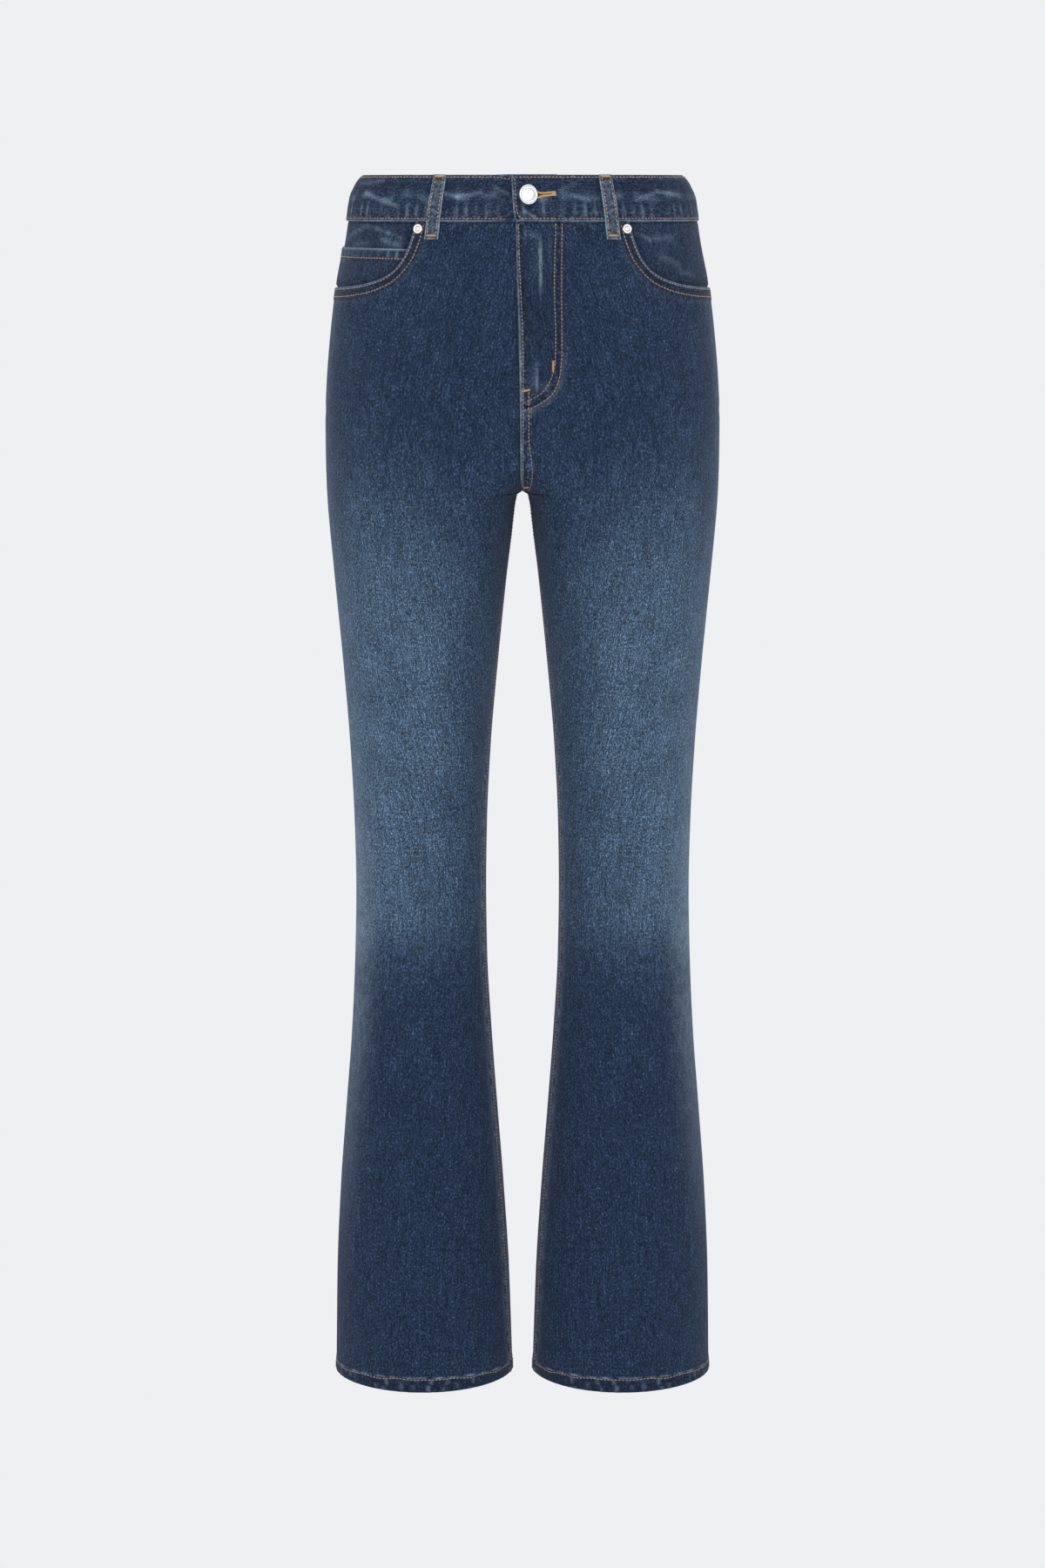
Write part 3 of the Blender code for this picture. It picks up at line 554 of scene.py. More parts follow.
def hem_marks(s, drop, seed):
    """The hem is folded twice. Its lower layer drags on the upper one when it is sewn, so slanted puckers
    run round it, called roping, and they rub pale."""
    up = hem_distance(s, drop)
    row = hem_stitch_height(s, drop)
    along = from_outseam(s, drop) * np.where(np.asarray(s) > 1, 1, -1)
    band = 1 - rise(up, row - 0.6, row + 1.2)
    rope = wavering(along + 0.35 * up, 11, seed)
    return marks(
        0.5 * band + 0.28 * rope * band - 0.35 * hill(up, row, 1.1) + 0.35 * hill(up, row + 1.9, 1.8)
        - rounded(up, 1.0),
        band * np.clip(0.6 * rope - 0.24, 0, 0.32) * rise(up, 0, 2)
        + np.clip(0.26 + 0.6 * wavering(along, 17, seed + 1), 0, 0.7) * hill(up, row + 1.5, 1.5)
        + 0.2 * bell(up, 0.8),
        0.35 * hill(up, row, 3.0),
        0.75 * band * np.clip(0.8 - 0.6 * rope, 0, 1),
    )


print("mouth of a front pocket, mm long:", round(float(run_along(MOUTH_LINE)[-1]), 1))

# %% [markdown]
# ## How the wash faded the denim
# The thighs and knees were rubbed pale before the last wash, most on the outer side of the leg's front, and
# the fade ends softly below the knee. Two tables hold it, one down the leg and one round it, and their
# product is the paleness of each place. The material adds the cloudiness and the grain.

# %% The fade
FADE_DOWN = (
    # drop, amount
    (0, 0.02), (60, 0.02), (150, 0.05), (190, 0.06), (226, 0.14), (270, 0.36), (312, 0.6), (360, 0.86),
    (399, 1.0), (486, 1.0), (572, 1.0), (620, 0.98), (659, 0.88), (685, 0.46), (702, 0.22), (725, 0.12),
    (745, 0.07), (790, 0.0), (832, -0.04), (960, -0.06), (1100, -0.12),
)
FADE_ROUND = (
    # s, amount
    (0, 0.44), (0.05, 0.46), (0.13, 0.46), (0.27, 0.57), (0.39, 0.82), (0.49, 0.95), (0.6, 1.0),
    (0.68, 0.92), (0.83, 0.84), (1.0, 0.62), (1.15, 0.45), (1.35, 0.42), (1.5, 0.48), (1.7, 0.4),
    (1.85, 0.3), (2.0, 0.3),
)


def fade(s, drop):
    """Paleness of the wash: the part down the leg times the part round it, which is narrower above the
    knee."""
    s = np.abs(s)
    (down,) = read(FADE_DOWN, drop)
    (around,) = read(FADE_ROUND, s)
    narrow = 1 + 0.9 * (1 - rise(drop, 300, 400))
    seat = 0.34 * hill(drop, 190, 110) * hill(s, 1.5, 0.42)
    return np.where(down > 0, down * around**narrow, down) + seat


print("fade on the thigh and at the hem:", fade(0.6, 486.0).round(2), fade(0.6, 1090.0).round(2))

# %% [markdown]
# ## Soft creases
# Filled-out denim is nearly smooth, but it still gives a little: three shallow troughs cross the back of
# each knee and faint ones its front, drag lines run out from the crotch and lie on the hip, and the seat
# folds softly where it meets the thigh. Each is a hill along a short line, added to or taken from the cloth
# by less than two millimetres.

# %% Creases placed one by one
FRONT_CREASES = (
    # s and drop of its start, s and drop of its end, half width in mm, height in mm
    (0.06, 262, 0.42, 236, 9.0, -0.7),
    (0.06, 284, 0.46, 268, 10.0, 0.6),
    (0.10, 306, 0.44, 304, 10.0, -0.6),
    (0.72, 196, 0.98, 214, 8.0, -0.5),
    (0.30, 628, 0.82, 640, 12.0, 0.7),
    (0.16, 664, 0.60, 672, 11.0, -0.7),
)
BACK_CREASES = (
    (1.30, 292, 1.90, 276, 10.0, -1.5),
    (1.36, 310, 1.88, 300, 10.0, 0.9),
    (1.44, 330, 1.86, 326, 11.0, -1.0),
    (1.14, 604, 1.72, 618, 9.0, -1.4),
    (1.20, 622, 1.84, 634, 9.0, 1.0),
    (1.26, 644, 1.88, 650, 10.0, -1.6),
    (1.22, 668, 1.70, 664, 11.0, 0.8),
    (1.34, 686, 1.78, 690, 10.0, -1.0),
)


def crease_lift(s, drop, creases):
    """The sum of the creases: across each one a hill, and along it a height that swells from its ends."""
    across = from_outseam(s, drop)
    total = np.zeros(np.shape(across))
    for s0, drop0, s1, drop1, half_width, height in creases:
        a = (float(from_outseam(s0, float(drop0))), float(drop0))
        b = (float(from_outseam(s1, float(drop1))), float(drop1))
        distance, along = nearest(across, drop, [a, b])
        share = along / math.hypot(b[0] - a[0], b[1] - a[1])
        total += height * hill(distance, 0, half_width) * np.sin(math.pi * np.clip(share, 0, 1)) ** 0.8
    return total


print("creases:", len(FRONT_CREASES), "on each front,", len(BACK_CREASES), "on each back")

# %% [markdown]
# ## From a grid of places to a piece of cloth
# A piece of denim is a closed wall: an outer face, an inner face 1.4 mm behind it and a rim all round. The
# Solidify modifier could thicken a single sheet, but then the rounded rims and pressed-in edges could not
# differ from place to place. So both faces are worked out from the same grid, each with its own offset.

# %% Making a mesh from arrays
def mesh_piece(name, points, faces, finishes, finish_of=None, uv=None, layers=None):
    """An object from points in millimetres and a list of arrays of faces, each array with one row for a
    face."""
    corners = np.concatenate([f.ravel() for f in faces]).astype(np.int32)
    sizes = np.concatenate([np.full(len(f), f.shape[1], np.int32) for f in faces])
    starts = np.concatenate([[0], np.cumsum(sizes)[:-1]]).astype(np.int32)
    mesh = bpy.data.meshes.new(name)
    mesh.vertices.add(len(points))
    mesh.vertices.foreach_set("co", (np.asarray(points) * MM).astype(np.float32).ravel())
    mesh.loops.add(len(corners))
    mesh.loops.foreach_set("vertex_index", corners)
    mesh.polygons.add(len(sizes))
    mesh.polygons.foreach_set("loop_start", starts)
    mesh.polygons.foreach_set("loop_total", sizes)
    if finish_of is not None:
        mesh.polygons.foreach_set("material_index", finish_of.astype(np.int32))
    mesh.polygons.foreach_set("use_smooth", np.ones(len(sizes), bool))
    mesh.update(calc_edges=True)
    if uv is not None:
        layer = mesh.uv_layers.new(name="cloth")
        layer.data.foreach_set("uv", uv[corners].astype(np.float32).ravel())
    for key, values in (layers or {}).items():
        mesh.attributes.new(key, "FLOAT", "POINT").data.foreach_set(
            "value", values.astype(np.float32).ravel()
        )
    for finish in finishes:
        mesh.materials.append(finish)
    return placed(name, mesh)


def grid_faces(rows, columns):
    """The four corners of each cell of a grid, going round it so that the face looks outwards."""
    at = np.arange(rows * columns).reshape(rows, columns)
    return np.stack([at[:-1, :-1], at[1:, :-1], at[1:, 1:], at[:-1, 1:]], -1).reshape(-1, 4)


def grid_rim(rows, columns):
    """The grid's border, walked once round."""
    at = np.arange(rows * columns).reshape(rows, columns)
    return np.concatenate([at[0, :], at[1:, -1], at[-1, -2::-1], at[-2:0:-1, 0]])


def cloth_uv(s, drop):
    """The cloth's own map, in metres: across it the distance from the outseam, and down it the drop. Past
    the middle, where s is negative, the distance goes on growing."""
    reach = from_outseam(s, drop)
    reach = np.where(np.asarray(s) < 0, 2 * look_up(DISTANCES, 0.0, drop) - reach, reach)
    across = np.where(np.asarray(s) > 1, 1, -1) * reach
    return np.stack([across, -np.broadcast_to(drop, across.shape)], -1) * MM


piece_sizes = {}
SIDES_OF_BODY = ((1, "left"), (-1, "right"))  # the wearer's


def wall(name, s, drop, marked, inner, side, finishes, uv=None, base=0.0, paleness=None):
    """A closed wall of cloth over a grid of places. Its outer face is base plus the marks' lift, and its
    inner face is at inner. A piece for the wearer's right is the mirror image, with its faces turned
    round."""
    s, drop = np.broadcast_arrays(s, drop)
    rows, columns = s.shape
    points, normal = cloth_frame(s, drop)
    offsets = np.stack(np.broadcast_arrays(base + marked[LIFT], inner))
    both = (points + normal * offsets[..., None]).reshape(-1, 3)
    both[:, 0] *= side
    count = rows * columns
    front = grid_faces(rows, columns)
    rim = grid_rim(rows, columns)
    after = np.roll(rim, -1)
    faces = np.concatenate([
        front, front[:, ::-1] + count, np.stack([rim, after, after + count, rim + count], -1)
    ])
    if side < 0:
        faces = faces[:, ::-1]
    finish_of = np.zeros(len(faces))
    finish_of[len(front) : 2 * len(front)] = 1
    uv = cloth_uv(s, drop) if uv is None else uv
    paleness = fade(s, drop) if paleness is None else np.broadcast_to(paleness, s.shape)
    worn = np.clip(marked[RUB:], 0, 1)
    layers = {
        key: np.tile(value.ravel(), 2) for key,
        value in zip(("fade", "rub", "pucker", "dye_and_shade"), (paleness, *worn))
    }
    made = mesh_piece(name, both, [faces], finishes, finish_of, np.tile(uv.reshape(-1, 2), (2, 1)), layers)
    at = both[:count].reshape(rows, columns, 3) * MM
    area = np.linalg.norm(np.cross(at[1:, :-1] - at[:-1, :-1], at[:-1, 1:] - at[:-1, :-1]), axis=-1).sum()
    flat = uv.reshape(-1, 2).max(0) - uv.reshape(-1, 2).min(0)
    piece_sizes[name] = (flat, area)
    return made


def spaced(*runs):
    """Positions along runs of (start, end, step), each divided evenly."""
    parts = [np.linspace(a, b, max(2, round(abs(b - a) / step) + 1))[:-1] for a, b, step in runs]
    return np.concatenate(parts + [[runs[-1][1]]])


CLOTH, HEM_FOLD = 1.4, 1.2  # thickness of a leg's wall, and what the turned-up hem adds inside
print("a grid of 3 by 4 has", len(grid_faces(3, 4)), "faces and a border of", len(grid_rim(3, 4)))

# %% [markdown]
# ## Denim, as node groups
# Denim is a twill: each blue warp yarn passes over three white weft yarns and under one, and each yarn's
# pattern sits one step higher than its neighbour's, which draws the slanted lines. An image could show
# that, but it would blur up close and repeat. A node group works it out from the cloth's own map instead,
# yarn by yarn. A second group lays the wash over it, and every denim material uses both with its own
# values.

# %% Wiring helpers
def add_node(tree, kind, **settings):
    """A new node with the given properties."""
    made = tree.nodes.new(kind)
    for key, value in settings.items():
        setattr(made, key, value)
    return made


def wire(source, target):
    """Links a socket to an input, or sets the input where source is a number or a colour."""
    if isinstance(source, bpy.types.NodeSocket):
        target.id_data.links.new(source, target)
    else:
        target.default_value = source


def tree_of(values):
    """The node tree of the first socket among some sockets and numbers."""
    return next(v.id_data for v in values if isinstance(v, bpy.types.NodeSocket))


def sum_of(operation):
    """A function that adds a Math node for the operation, on sockets or numbers."""

    def worked(*values, clamp=False):
        made = add_node(tree_of(values), "ShaderNodeMath", operation=operation, use_clamp=clamp)
        for value, target in zip(values, made.inputs):
            wire(value, target)
        return made.outputs[0]

    return worked


times, plus, minus, divide = (sum_of(name) for name in ("MULTIPLY", "ADD", "SUBTRACT", "DIVIDE"))
floor_of, fract, sine, power_of_e = (sum_of(name) for name in ("FLOOR", "FRACT", "SINE", "EXPONENT"))


def swing(value, amount):
    """A value round 0.5 turned into one round 0, times the amount."""
    return times(minus(value, 0.5), amount)


def ramp_between(value, low, high, to_low=0.0, to_high=1.0):
    """Map Range, smooth at both ends: low becomes to_low, and high becomes to_high."""
    made = add_node(value.id_data, "ShaderNodeMapRange", interpolation_type="SMOOTHSTEP")
    for given, target in zip((value, low, high, to_low, to_high), made.inputs):
        wire(given, target)
    return made.outputs[0]


def blend_colours(amount, first, second):
    """A Mix node on two colours. Its inputs for colours are the seventh and the eighth."""
    given = ((amount, 0), (first, 6), (second, 7))
    made = add_node(
        tree_of((amount, first, second)), "ShaderNodeMix", data_type="RGBA", blend_type="MIX",
        clamp_factor=True
    )
    for value, k in given:
        wire(value, made.inputs[k])
    return made.outputs[2]


def dial(node, **values):
    """Sets constants on a node's inputs. An underscore stands for a space in an input's name."""
    for key, value in values.items():
        node.inputs[key.replace("_", " ")].default_value = value


def stretched(place, across, down, turn=0.0):
    """The place scaled on its own across and down, so that a noise on it has grains of that size in mm."""
    made = add_node(place.id_data, "ShaderNodeMapping", vector_type="POINT")
    wire(place, made.inputs["Vector"])
    dial(made, Scale=(1000 / across, 1000 / down, 1000 / across), Rotation=(0, 0, turn))
    return made.outputs[0]


def cloudy(place, across, down, detail=2.0, roughness=0.5):
    """Noise with grains about across by down millimetres."""
    made = add_node(place.id_data, "ShaderNodeTexNoise", noise_dimensions="2D")
    wire(stretched(place, across, down), made.inputs["Vector"])
    dial(made, Scale=1.0, Detail=detail, Roughness=roughness)
    return made.outputs[0]


def painted(tree, name):
    """A layer of numbers kept on the mesh's vertices, such as the rub."""
    made = add_node(tree, "ShaderNodeAttribute", attribute_type="GEOMETRY", attribute_name=name)
    return made.outputs["Fac"]


def new_material(name):
    """A material, its node tree and its Principled shader."""
    made = bpy.data.materials.new(name)
    made.use_nodes = True
    return made, made.node_tree, made.node_tree.nodes["Principled BSDF"]


def emboss(height, shader):
    """Bends the shader's normal by a height in metres."""
    bump = add_node(height.id_data, "ShaderNodeBump")
    dial(bump, Strength=1.0, Distance=1.0)
    wire(height, bump.inputs["Height"])
    wire(bump.outputs[0], shader.inputs["Normal"])


def new_group(name, inputs, outputs):
    """A shader node group with named inputs and outputs. Each input is (socket kind, name, default)."""
    tree = bpy.data.node_groups.new(name, "ShaderNodeTree")
    for kind, label, default in inputs:
        socket = tree.interface.new_socket(name=label, in_out="INPUT", socket_type=kind)
        if default is not None:
            socket.default_value = default
    for kind, label in outputs:
        tree.interface.new_socket(name=label, in_out="OUTPUT", socket_type=kind)
    return tree, tree.nodes.new("NodeGroupInput").outputs, tree.nodes.new("NodeGroupOutput").inputs


NUMBER, COLOUR, PLACE = "NodeSocketFloat", "NodeSocketColor", "NodeSocketVector"


# %% The weave
def make_weave():
    """Yarn number = floor(across / yarn). Its row = floor(down / float + yarn number / 4), so each yarn's
    pattern sits a quarter of a float higher. Height is the half sine across a yarn, less where the weft
    shows."""
    tree, given, gives = new_group(
        "twill_weave",
        [(PLACE, "Place", None), (NUMBER, "Yarn", 0.45), (NUMBER, "Float", 2.0)],
        [(NUMBER, "Height"), (NUMBER, "Weft"), (NUMBER, "Grain"), (NUMBER, "Streak")],
    )
    split = add_node(tree, "ShaderNodeSeparateXYZ")
    wire(given["Place"], split.inputs[0])
    wobble = times(cloudy(given["Place"], 9, 14, 1.0), 0.0009)
    across = divide(times(plus(split.outputs[0], wobble), 1000.0), given["Yarn"])
    yarn = floor_of(across)
    down = divide(times(split.outputs[1], 1000.0), given["Float"])
    down = plus(down, times(yarn, 0.25))
    row = floor_of(down)
    in_row = fract(down)
    crest = sine(times(fract(across), math.pi))
    weft = minus(ramp_between(in_row, 0.0, 0.05), ramp_between(in_row, 0.22, 0.3))
    cell = add_node(tree, "ShaderNodeCombineXYZ")
    wire(yarn, cell.inputs[0])
    wire(row, cell.inputs[1])
    chance = add_node(tree, "ShaderNodeTexWhiteNoise", noise_dimensions="2D")
    wire(cell.outputs[0], chance.inputs["Vector"])
    along = add_node(tree, "ShaderNodeCombineXYZ")
    wire(times(yarn, 7.31), along.inputs[0])
    wire(times(split.outputs[1], 26.0), along.inputs[1])
    slub = add_node(tree, "ShaderNodeTexNoise", noise_dimensions="2D")
    wire(along.outputs[0], slub.inputs["Vector"])
    dial(slub, Scale=1.0, Detail=2.0)
    wire(times(crest, minus(1.0, times(weft, 0.6))), gives["Height"])
    wire(weft, gives["Weft"])
    wire(chance.outputs["Value"], gives["Grain"])
    wire(slub.outputs[0], gives["Streak"])
    return tree


weave_group = make_weave()
print("weave group gives:", [s.name for s in weave_group.interface.items_tree if s.in_out == "OUTPUT"])


# %% The wash
def make_wash():
    """Colour = dark to bright by the paleness and the clouds, times e^(grain), with white where it is
    rubbed, and darker where dye is unfaded and where shade is painted in. Height = the yarns and the
    puckers, in metres."""
    tree, given, gives = new_group(
        "indigo_wash",
        [
            (PLACE, "Place", None), (NUMBER, "Fade", 0.0), (NUMBER, "Rub", 0.0), (NUMBER, "Pucker", 0.0),
            (NUMBER, "Dye_and_shade", 0.0), (NUMBER, "Height", 0.0), (NUMBER, "Weft", 0.0), (NUMBER, "Grain", 0.5),
            (NUMBER, "Streak", 0.5), (COLOUR, "Dark", (0.02, 0.036, 0.075, 1)),
            (COLOUR, "Bright", (0.07, 0.112, 0.178, 1)), (COLOUR, "Rubbed", (0.26, 0.36, 0.47, 1)),
            (NUMBER, "Contrast", 1.0),
        ],
        [(COLOUR, "Colour"), (NUMBER, "Height")],
    )
    place = given["Place"]
    clouds = cloudy(place, 42, 60, 3.0)
    patches = cloudy(place, 7, 11, 2.0)
    specks = cloudy(place, 1.25, 1.7, 2.0, roughness=0.75)
    lines = cloudy(place, 1.3, 34, 1.0)
    picks = cloudy(place, 24, 0.9, 1.0)
    amount = times(given["Fade"], plus(0.72, times(clouds, 0.56)))
    uneven = plus(swing(patches, 0.34), swing(clouds, 0.22))
    amount = plus(amount, uneven)
    colour = blend_colours(amount, given["Dark"], given["Bright"])
    # grain: random yarn tones, specks, and long faint lines both ways
    grain = swing(given["Grain"], 1.35)
    for value, part in ((specks, 5.2), (given["Streak"], 1.1), (lines, 0.9), (picks, 0.6)):
        grain = plus(grain, swing(value, part))
    strength = times(given["Contrast"], plus(1.0, times(amount, 0.06)))
    gain = power_of_e(times(grain, strength))
    scaled = add_node(tree, "ShaderNodeVectorMath", operation="SCALE")
    wire(colour, scaled.inputs[0])
    wire(gain, scaled.inputs["Scale"])
    # the palest flecks are the white core of the yarn
    fleck = times(minus(gain, 1.35), 0.035, clamp=True)
    flecked = blend_colours(fleck, scaled.outputs[0], given["Rubbed"])
    # weft yarns are paler, and the more so the more the warp is faded
    weft = times(given["Weft"], plus(0.25, times(given["Grain"], 1.5)))
    weft = times(weft, plus(0.08, times(amount, 0.12)), clamp=True)
    colour = blend_colours(weft, flecked, given["Rubbed"])
    # puckers beside the stitches: rubbed pale on their crests, and dark in their hollows, partly from
    # unfaded dye and partly painted shade
    crimp = cloudy(place, 3.1, 3.1, 1.0)
    crest = times(given["Pucker"], ramp_between(crimp, 0.52, 0.72), clamp=True)
    hollow = times(given["Pucker"], ramp_between(crimp, 0.5, 0.32), clamp=True)
    worn = times(given["Rub"], ramp_between(patches, 0.25, 0.7, 0.62, 1.15))
    worn = times(worn, ramp_between(specks, 0.3, 0.65, 0.45, 1.25))
    worn = plus(worn, times(crest, 0.5), clamp=True)
    colour = blend_colours(times(worn, 0.85), colour, given["Rubbed"])
    # darkened toward near-black by the layer of unfaded dye and painted shade, and by the pucker hollows
    shade = plus(times(given["Dye_and_shade"], 0.7), times(hollow, 0.45), clamp=True)
    colour = blend_colours(
        shade, colour, blend_colours(0.78, given["Dark"], (0.004, 0.006, 0.012, 1))
    )
    wire(colour, gives["Colour"])
    yarns = times(given["Height"], 0.00009)
    small = times(times(crimp, given["Pucker"]), 0.0011)
    fuzz = times(specks, 0.00016)
    wire(plus(plus(yarns, small), fuzz), gives["Height"])
    return tree


wash_group = make_wash()
print("wash group takes:", [s.name for s in wash_group.interface.items_tree if s.in_out == "INPUT"])

# %% [markdown]
# ## The denim materials
# Each material is one Principled shader fed by the two groups. The legs' denim, the darker denim of the
# band, loops and facings, and the pale inside differ only in a few values. A soft sheen stands for the fuzz
# that catches light where the cloth turns away.

# %% Materials of cloth
def denim(name, dark, bright, rubbed, contrast=1.0, inside=False, turned=False):
    """A material: cloth map, weave group, wash group, then the shader. turned lays the warp round the
    body."""
    made, tree, shader = new_material(name)
    place = add_node(tree, "ShaderNodeUVMap", uv_map="cloth").outputs[0]
    if turned:
        place = stretched(place, 1000, 1000, math.pi / 2)
    weave = add_node(tree, "ShaderNodeGroup", node_tree=weave_group)
    wash = add_node(tree, "ShaderNodeGroup", node_tree=wash_group)
    wire(place, weave.inputs["Place"])
    wire(place, wash.inputs["Place"])
    for key in ("Height", "Weft", "Grain", "Streak"):
        wire(weave.outputs[key], wash.inputs[key])
    for key in () if inside else ("Fade", "Rub", "Pucker", "Dye_and_shade"):
        wire(painted(tree, key.lower()), wash.inputs[key])
    dial(wash, Dark=(*dark, 1), Bright=(*bright, 1), Rubbed=(*rubbed, 1), Contrast=contrast)
    if inside:
        dial(wash, Fade=0.5)
    wire(wash.outputs["Colour"], shader.inputs["Base Color"])
    emboss(wash.outputs["Height"], shader)
    dial(shader, Roughness=0.86, Specular_IOR_Level=0.1)
    dial(shader, Sheen_Weight=0.08, Sheen_Roughness=0.45, Sheen_Tint=(0.75, 0.85, 1.0, 1))
    return made


DARK, BRIGHT, RUBBED = (0.0062, 0.0152, 0.0400), (0.0400, 0.0700, 0.1165), (0.27, 0.37, 0.47)
TRIM_DARK, TRIM_BRIGHT = (0.0084, 0.0170, 0.0410), (0.0400, 0.0700, 0.1170)
leg_denim = denim("washed_denim", DARK, BRIGHT, RUBBED)
trim_denim = denim("dark_denim", TRIM_DARK, TRIM_BRIGHT, RUBBED, 0.9)
band_denim = denim("waistband_denim", TRIM_DARK, TRIM_BRIGHT, RUBBED, 0.9, turned=True)
inner_denim = denim(
    "denim_inside", (0.15, 0.185, 0.235), (0.24, 0.285, 0.335), (0.42, 0.46, 0.5), 0.8, inside=True
)
print("cloth materials:", leg_denim.name, trim_denim.name, band_denim.name, inner_denim.name)


# %% Dressing a frame node
def dress(piece, node):
    """The piece rides on the body and stands for its CAD node, which is hidden. It prints the sheet it was
    cut from: the size of its own map, and its outer face's area."""
    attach(piece, "root")
    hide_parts(node)
    flat, area = piece_sizes[piece.name]
    width, length = (float(v) for v in flat)
    box = width * 1000, length * 1000
    print(f"{piece.name}: cut {box[0]:.0f} by {box[1]:.0f} mm, {area * 1e4:.0f} square cm")


# %% [markdown]
# ## The four leg panels
# Each leg is one front and one back panel, cut long and sewn at the outseam and the inseam. The wearer's
# left front laps over the right one at the fly, where it is doubled and sewn along the curve that is called
# the J. The front's upper corner is cut away for the pocket's mouth. Columns of the grid lie close together
# at the seams and at the J, and rows lie close where the mouth, the J, the crotch and the hem are.

# %% Rows and columns of a front
FRONT_LEVEL = 215.0  # above this drop the rows bend to meet the top edge
FRONT_TOP = 40.2
HEM_ROWS = (LENGTH - 17, LENGTH - 1.2, 0.8), (LENGTH - 1.2, LENGTH, 0.3)
front_rows = spaced((WAISTBAND, 58.5, 0.9), (58.5, 146, 3.2), (146, FRONT_LEVEL, 1.45))
front_rise = (front_rows[:-1] - WAISTBAND) / (FRONT_LEVEL - WAISTBAND)
leg_rows = spaced((FRONT_LEVEL, 262, 3.4), (262, 300, 1.4), (300, LENGTH - 17, 5.2), *HEM_ROWS)
CLOSE_WIDTH = 42  # mm from the middle at the hip, over which the columns lie close together
near_middle = spaced((0, 20, 1.2), (20, 48, 1.4)) / 48.0
top_plain = spaced((0, 0.75, 0.11), (0.75, 1.0, 0.028))[1:-1]
top_mouth = spaced((0, 0.56, 0.033), (0.56, 0.985, 0.028), (0.985, 1.0, 0.006))
EDGE_COLUMNS, EDGE_WIDTH = 11, 14.0  # close columns at the outseam, and the mm that they cover


def start_of_front(drop, side):
    """How far past the middle, in mm, a front's edge lies. The left one laps over, and the right one runs
    under."""
    (cross,) = read(FRONT_EDGE, drop)
    above_crotch = 1 - rise(drop, CROTCH - 12, CROTCH - 2)
    return -cross if side > 0 else -4.0 * above_crotch


def front_grid(side):
    """s and drop of each place. A row is laid out in mm from the middle, then divided by the section's
    length: close columns at the middle, even ones across the leg, and close ones again at the outseam."""
    level = np.concatenate([np.full(len(front_rise), FRONT_LEVEL), leg_rows])[:, None]
    reach = half_length(True, level)
    start = start_of_front(level, side)
    even = np.linspace(0, 1, len(top_plain) + len(top_mouth) - EDGE_COLUMNS + 1)[1:]
    edge = reach - EDGE_WIDTH * (1 - np.linspace(0, 1, EDGE_COLUMNS + 1)[1:])
    wide = reach - EDGE_WIDTH - CLOSE_WIDTH
    at_hip = np.concatenate(
        [start + (CLOSE_WIDTH - start) * near_middle, CLOSE_WIDTH + wide * even, edge], 1
    )
    third = reach * 0.36
    close = start + (third - start) * (0.55 * near_middle + 0.45 * near_middle**3)
    at_leg = np.concatenate([close, third + (reach - EDGE_WIDTH - third) * even, edge], 1)
    s = (at_hip + (at_leg - at_hip) * rise(level, FRONT_LEVEL, 330)) / reach
    # the top edge runs along the waistband's seam, then along the mouth
    top_reach, top_start = half_length(True, FRONT_TOP), start_of_front(FRONT_TOP, side)
    first = (top_start + (CLOSE_WIDTH - top_start) * near_middle) / top_reach
    mouth_s, mouth_drop = read(POCKET_MOUTH, top_mouth)
    top_s = np.concatenate([first, first[-1] + (mouth_s[0] - first[-1]) * top_plain, mouth_s])
    top_drop = np.concatenate([np.full(len(first) + len(top_plain), FRONT_TOP), mouth_drop])
    t, n = front_rise[:, None], len(front_rise)
    s[:n] = top_s + (s[:n] - top_s) * t
    drop = np.broadcast_to(leg_rows[:, None], (len(leg_rows), s.shape[1]))
    drop = np.concatenate([top_drop + (FRONT_LEVEL - top_drop) * t, drop])
    return s, hem_lifted(s, drop)


def hem_lifted(s, drop):
    """The hem rises towards the seams: the drop less a share of HEM_LIFT that grows over the last 200
    mm."""
    return drop - HEM_LIFT * np.clip((drop - 900) / (LENGTH - 900), 0, 1) * sideways(s, drop)


s, drop = front_grid(1)
print("front grid:", s.shape, "rows by columns")

# %% Seams of a front
FLY_SPOTS = (
    # x, drop, half width, half height, strength: where the fly's doubled denim is rubbed
    (15.5, 80, 1.8, 36, 0.78), (11.5, 74, 6.0, 28, 0.08), (23.5, 62, 3.0, 30, 0.07),
    (10.0, 52, 7.0, 5.0, 0.18), (12.5, 176, 2.0, 18, 0.46), (9.0, 176, 6.0, 18, 0.12),
    (5.0, 122, 6.0, 2.4, 0.16), (6.0, 141, 7.0, 2.4, 0.18), (20.0, 184, 7.0, 7, 0.14),
    (2.0, 52, 2.4, 8, 0.2),
)


# the pale band along each leg's outer side, by drop: partly rubbed, and partly a painted rim highlight
SIDE_RUB_AND_RIM_LIGHT = (  # drop, how much the leg's outer side is rubbed
    (0, 0.05), (120, 0.19), (226, 0.23), (312, 0.16), (400, 0.13), (486, 0.19), (572, 0.28), (659, 0.43),
    (745, 0.36), (832, 0.25), (918, 0.12), (998, 0.0), (LENGTH, 0.0),
)


def side_seam(o, drop):
    """The outseam is pressed open, so it is a narrow valley between two low ridges, and rubs pale at the
    knee. A wider pale band beside it is partly rubbed and partly a painted highlight where the leg turns
    away."""
    ridge = 0.28 * hill(o, 4.5, 4.5)
    knee = hill(drop, 560, 330)
    (rim,) = read(SIDE_RUB_AND_RIM_LIGHT, drop)
    # the second term is the wide pale band: partly wear, partly a painted rim highlight
    rub = (
        (0.16 + 0.2 * knee) * hill(o, 4.0, 6.5)
        + rim * hill(o, 24.0, 48.0) * (0.95 + 0.3 * wavering(drop, 60, 81))
    )
    return marks(ridge - 0.8 * bell(o, 1.1), rub, 0.35 * hill(o, 3.0, 5.0), 0.75 * bell(o, 0.7))


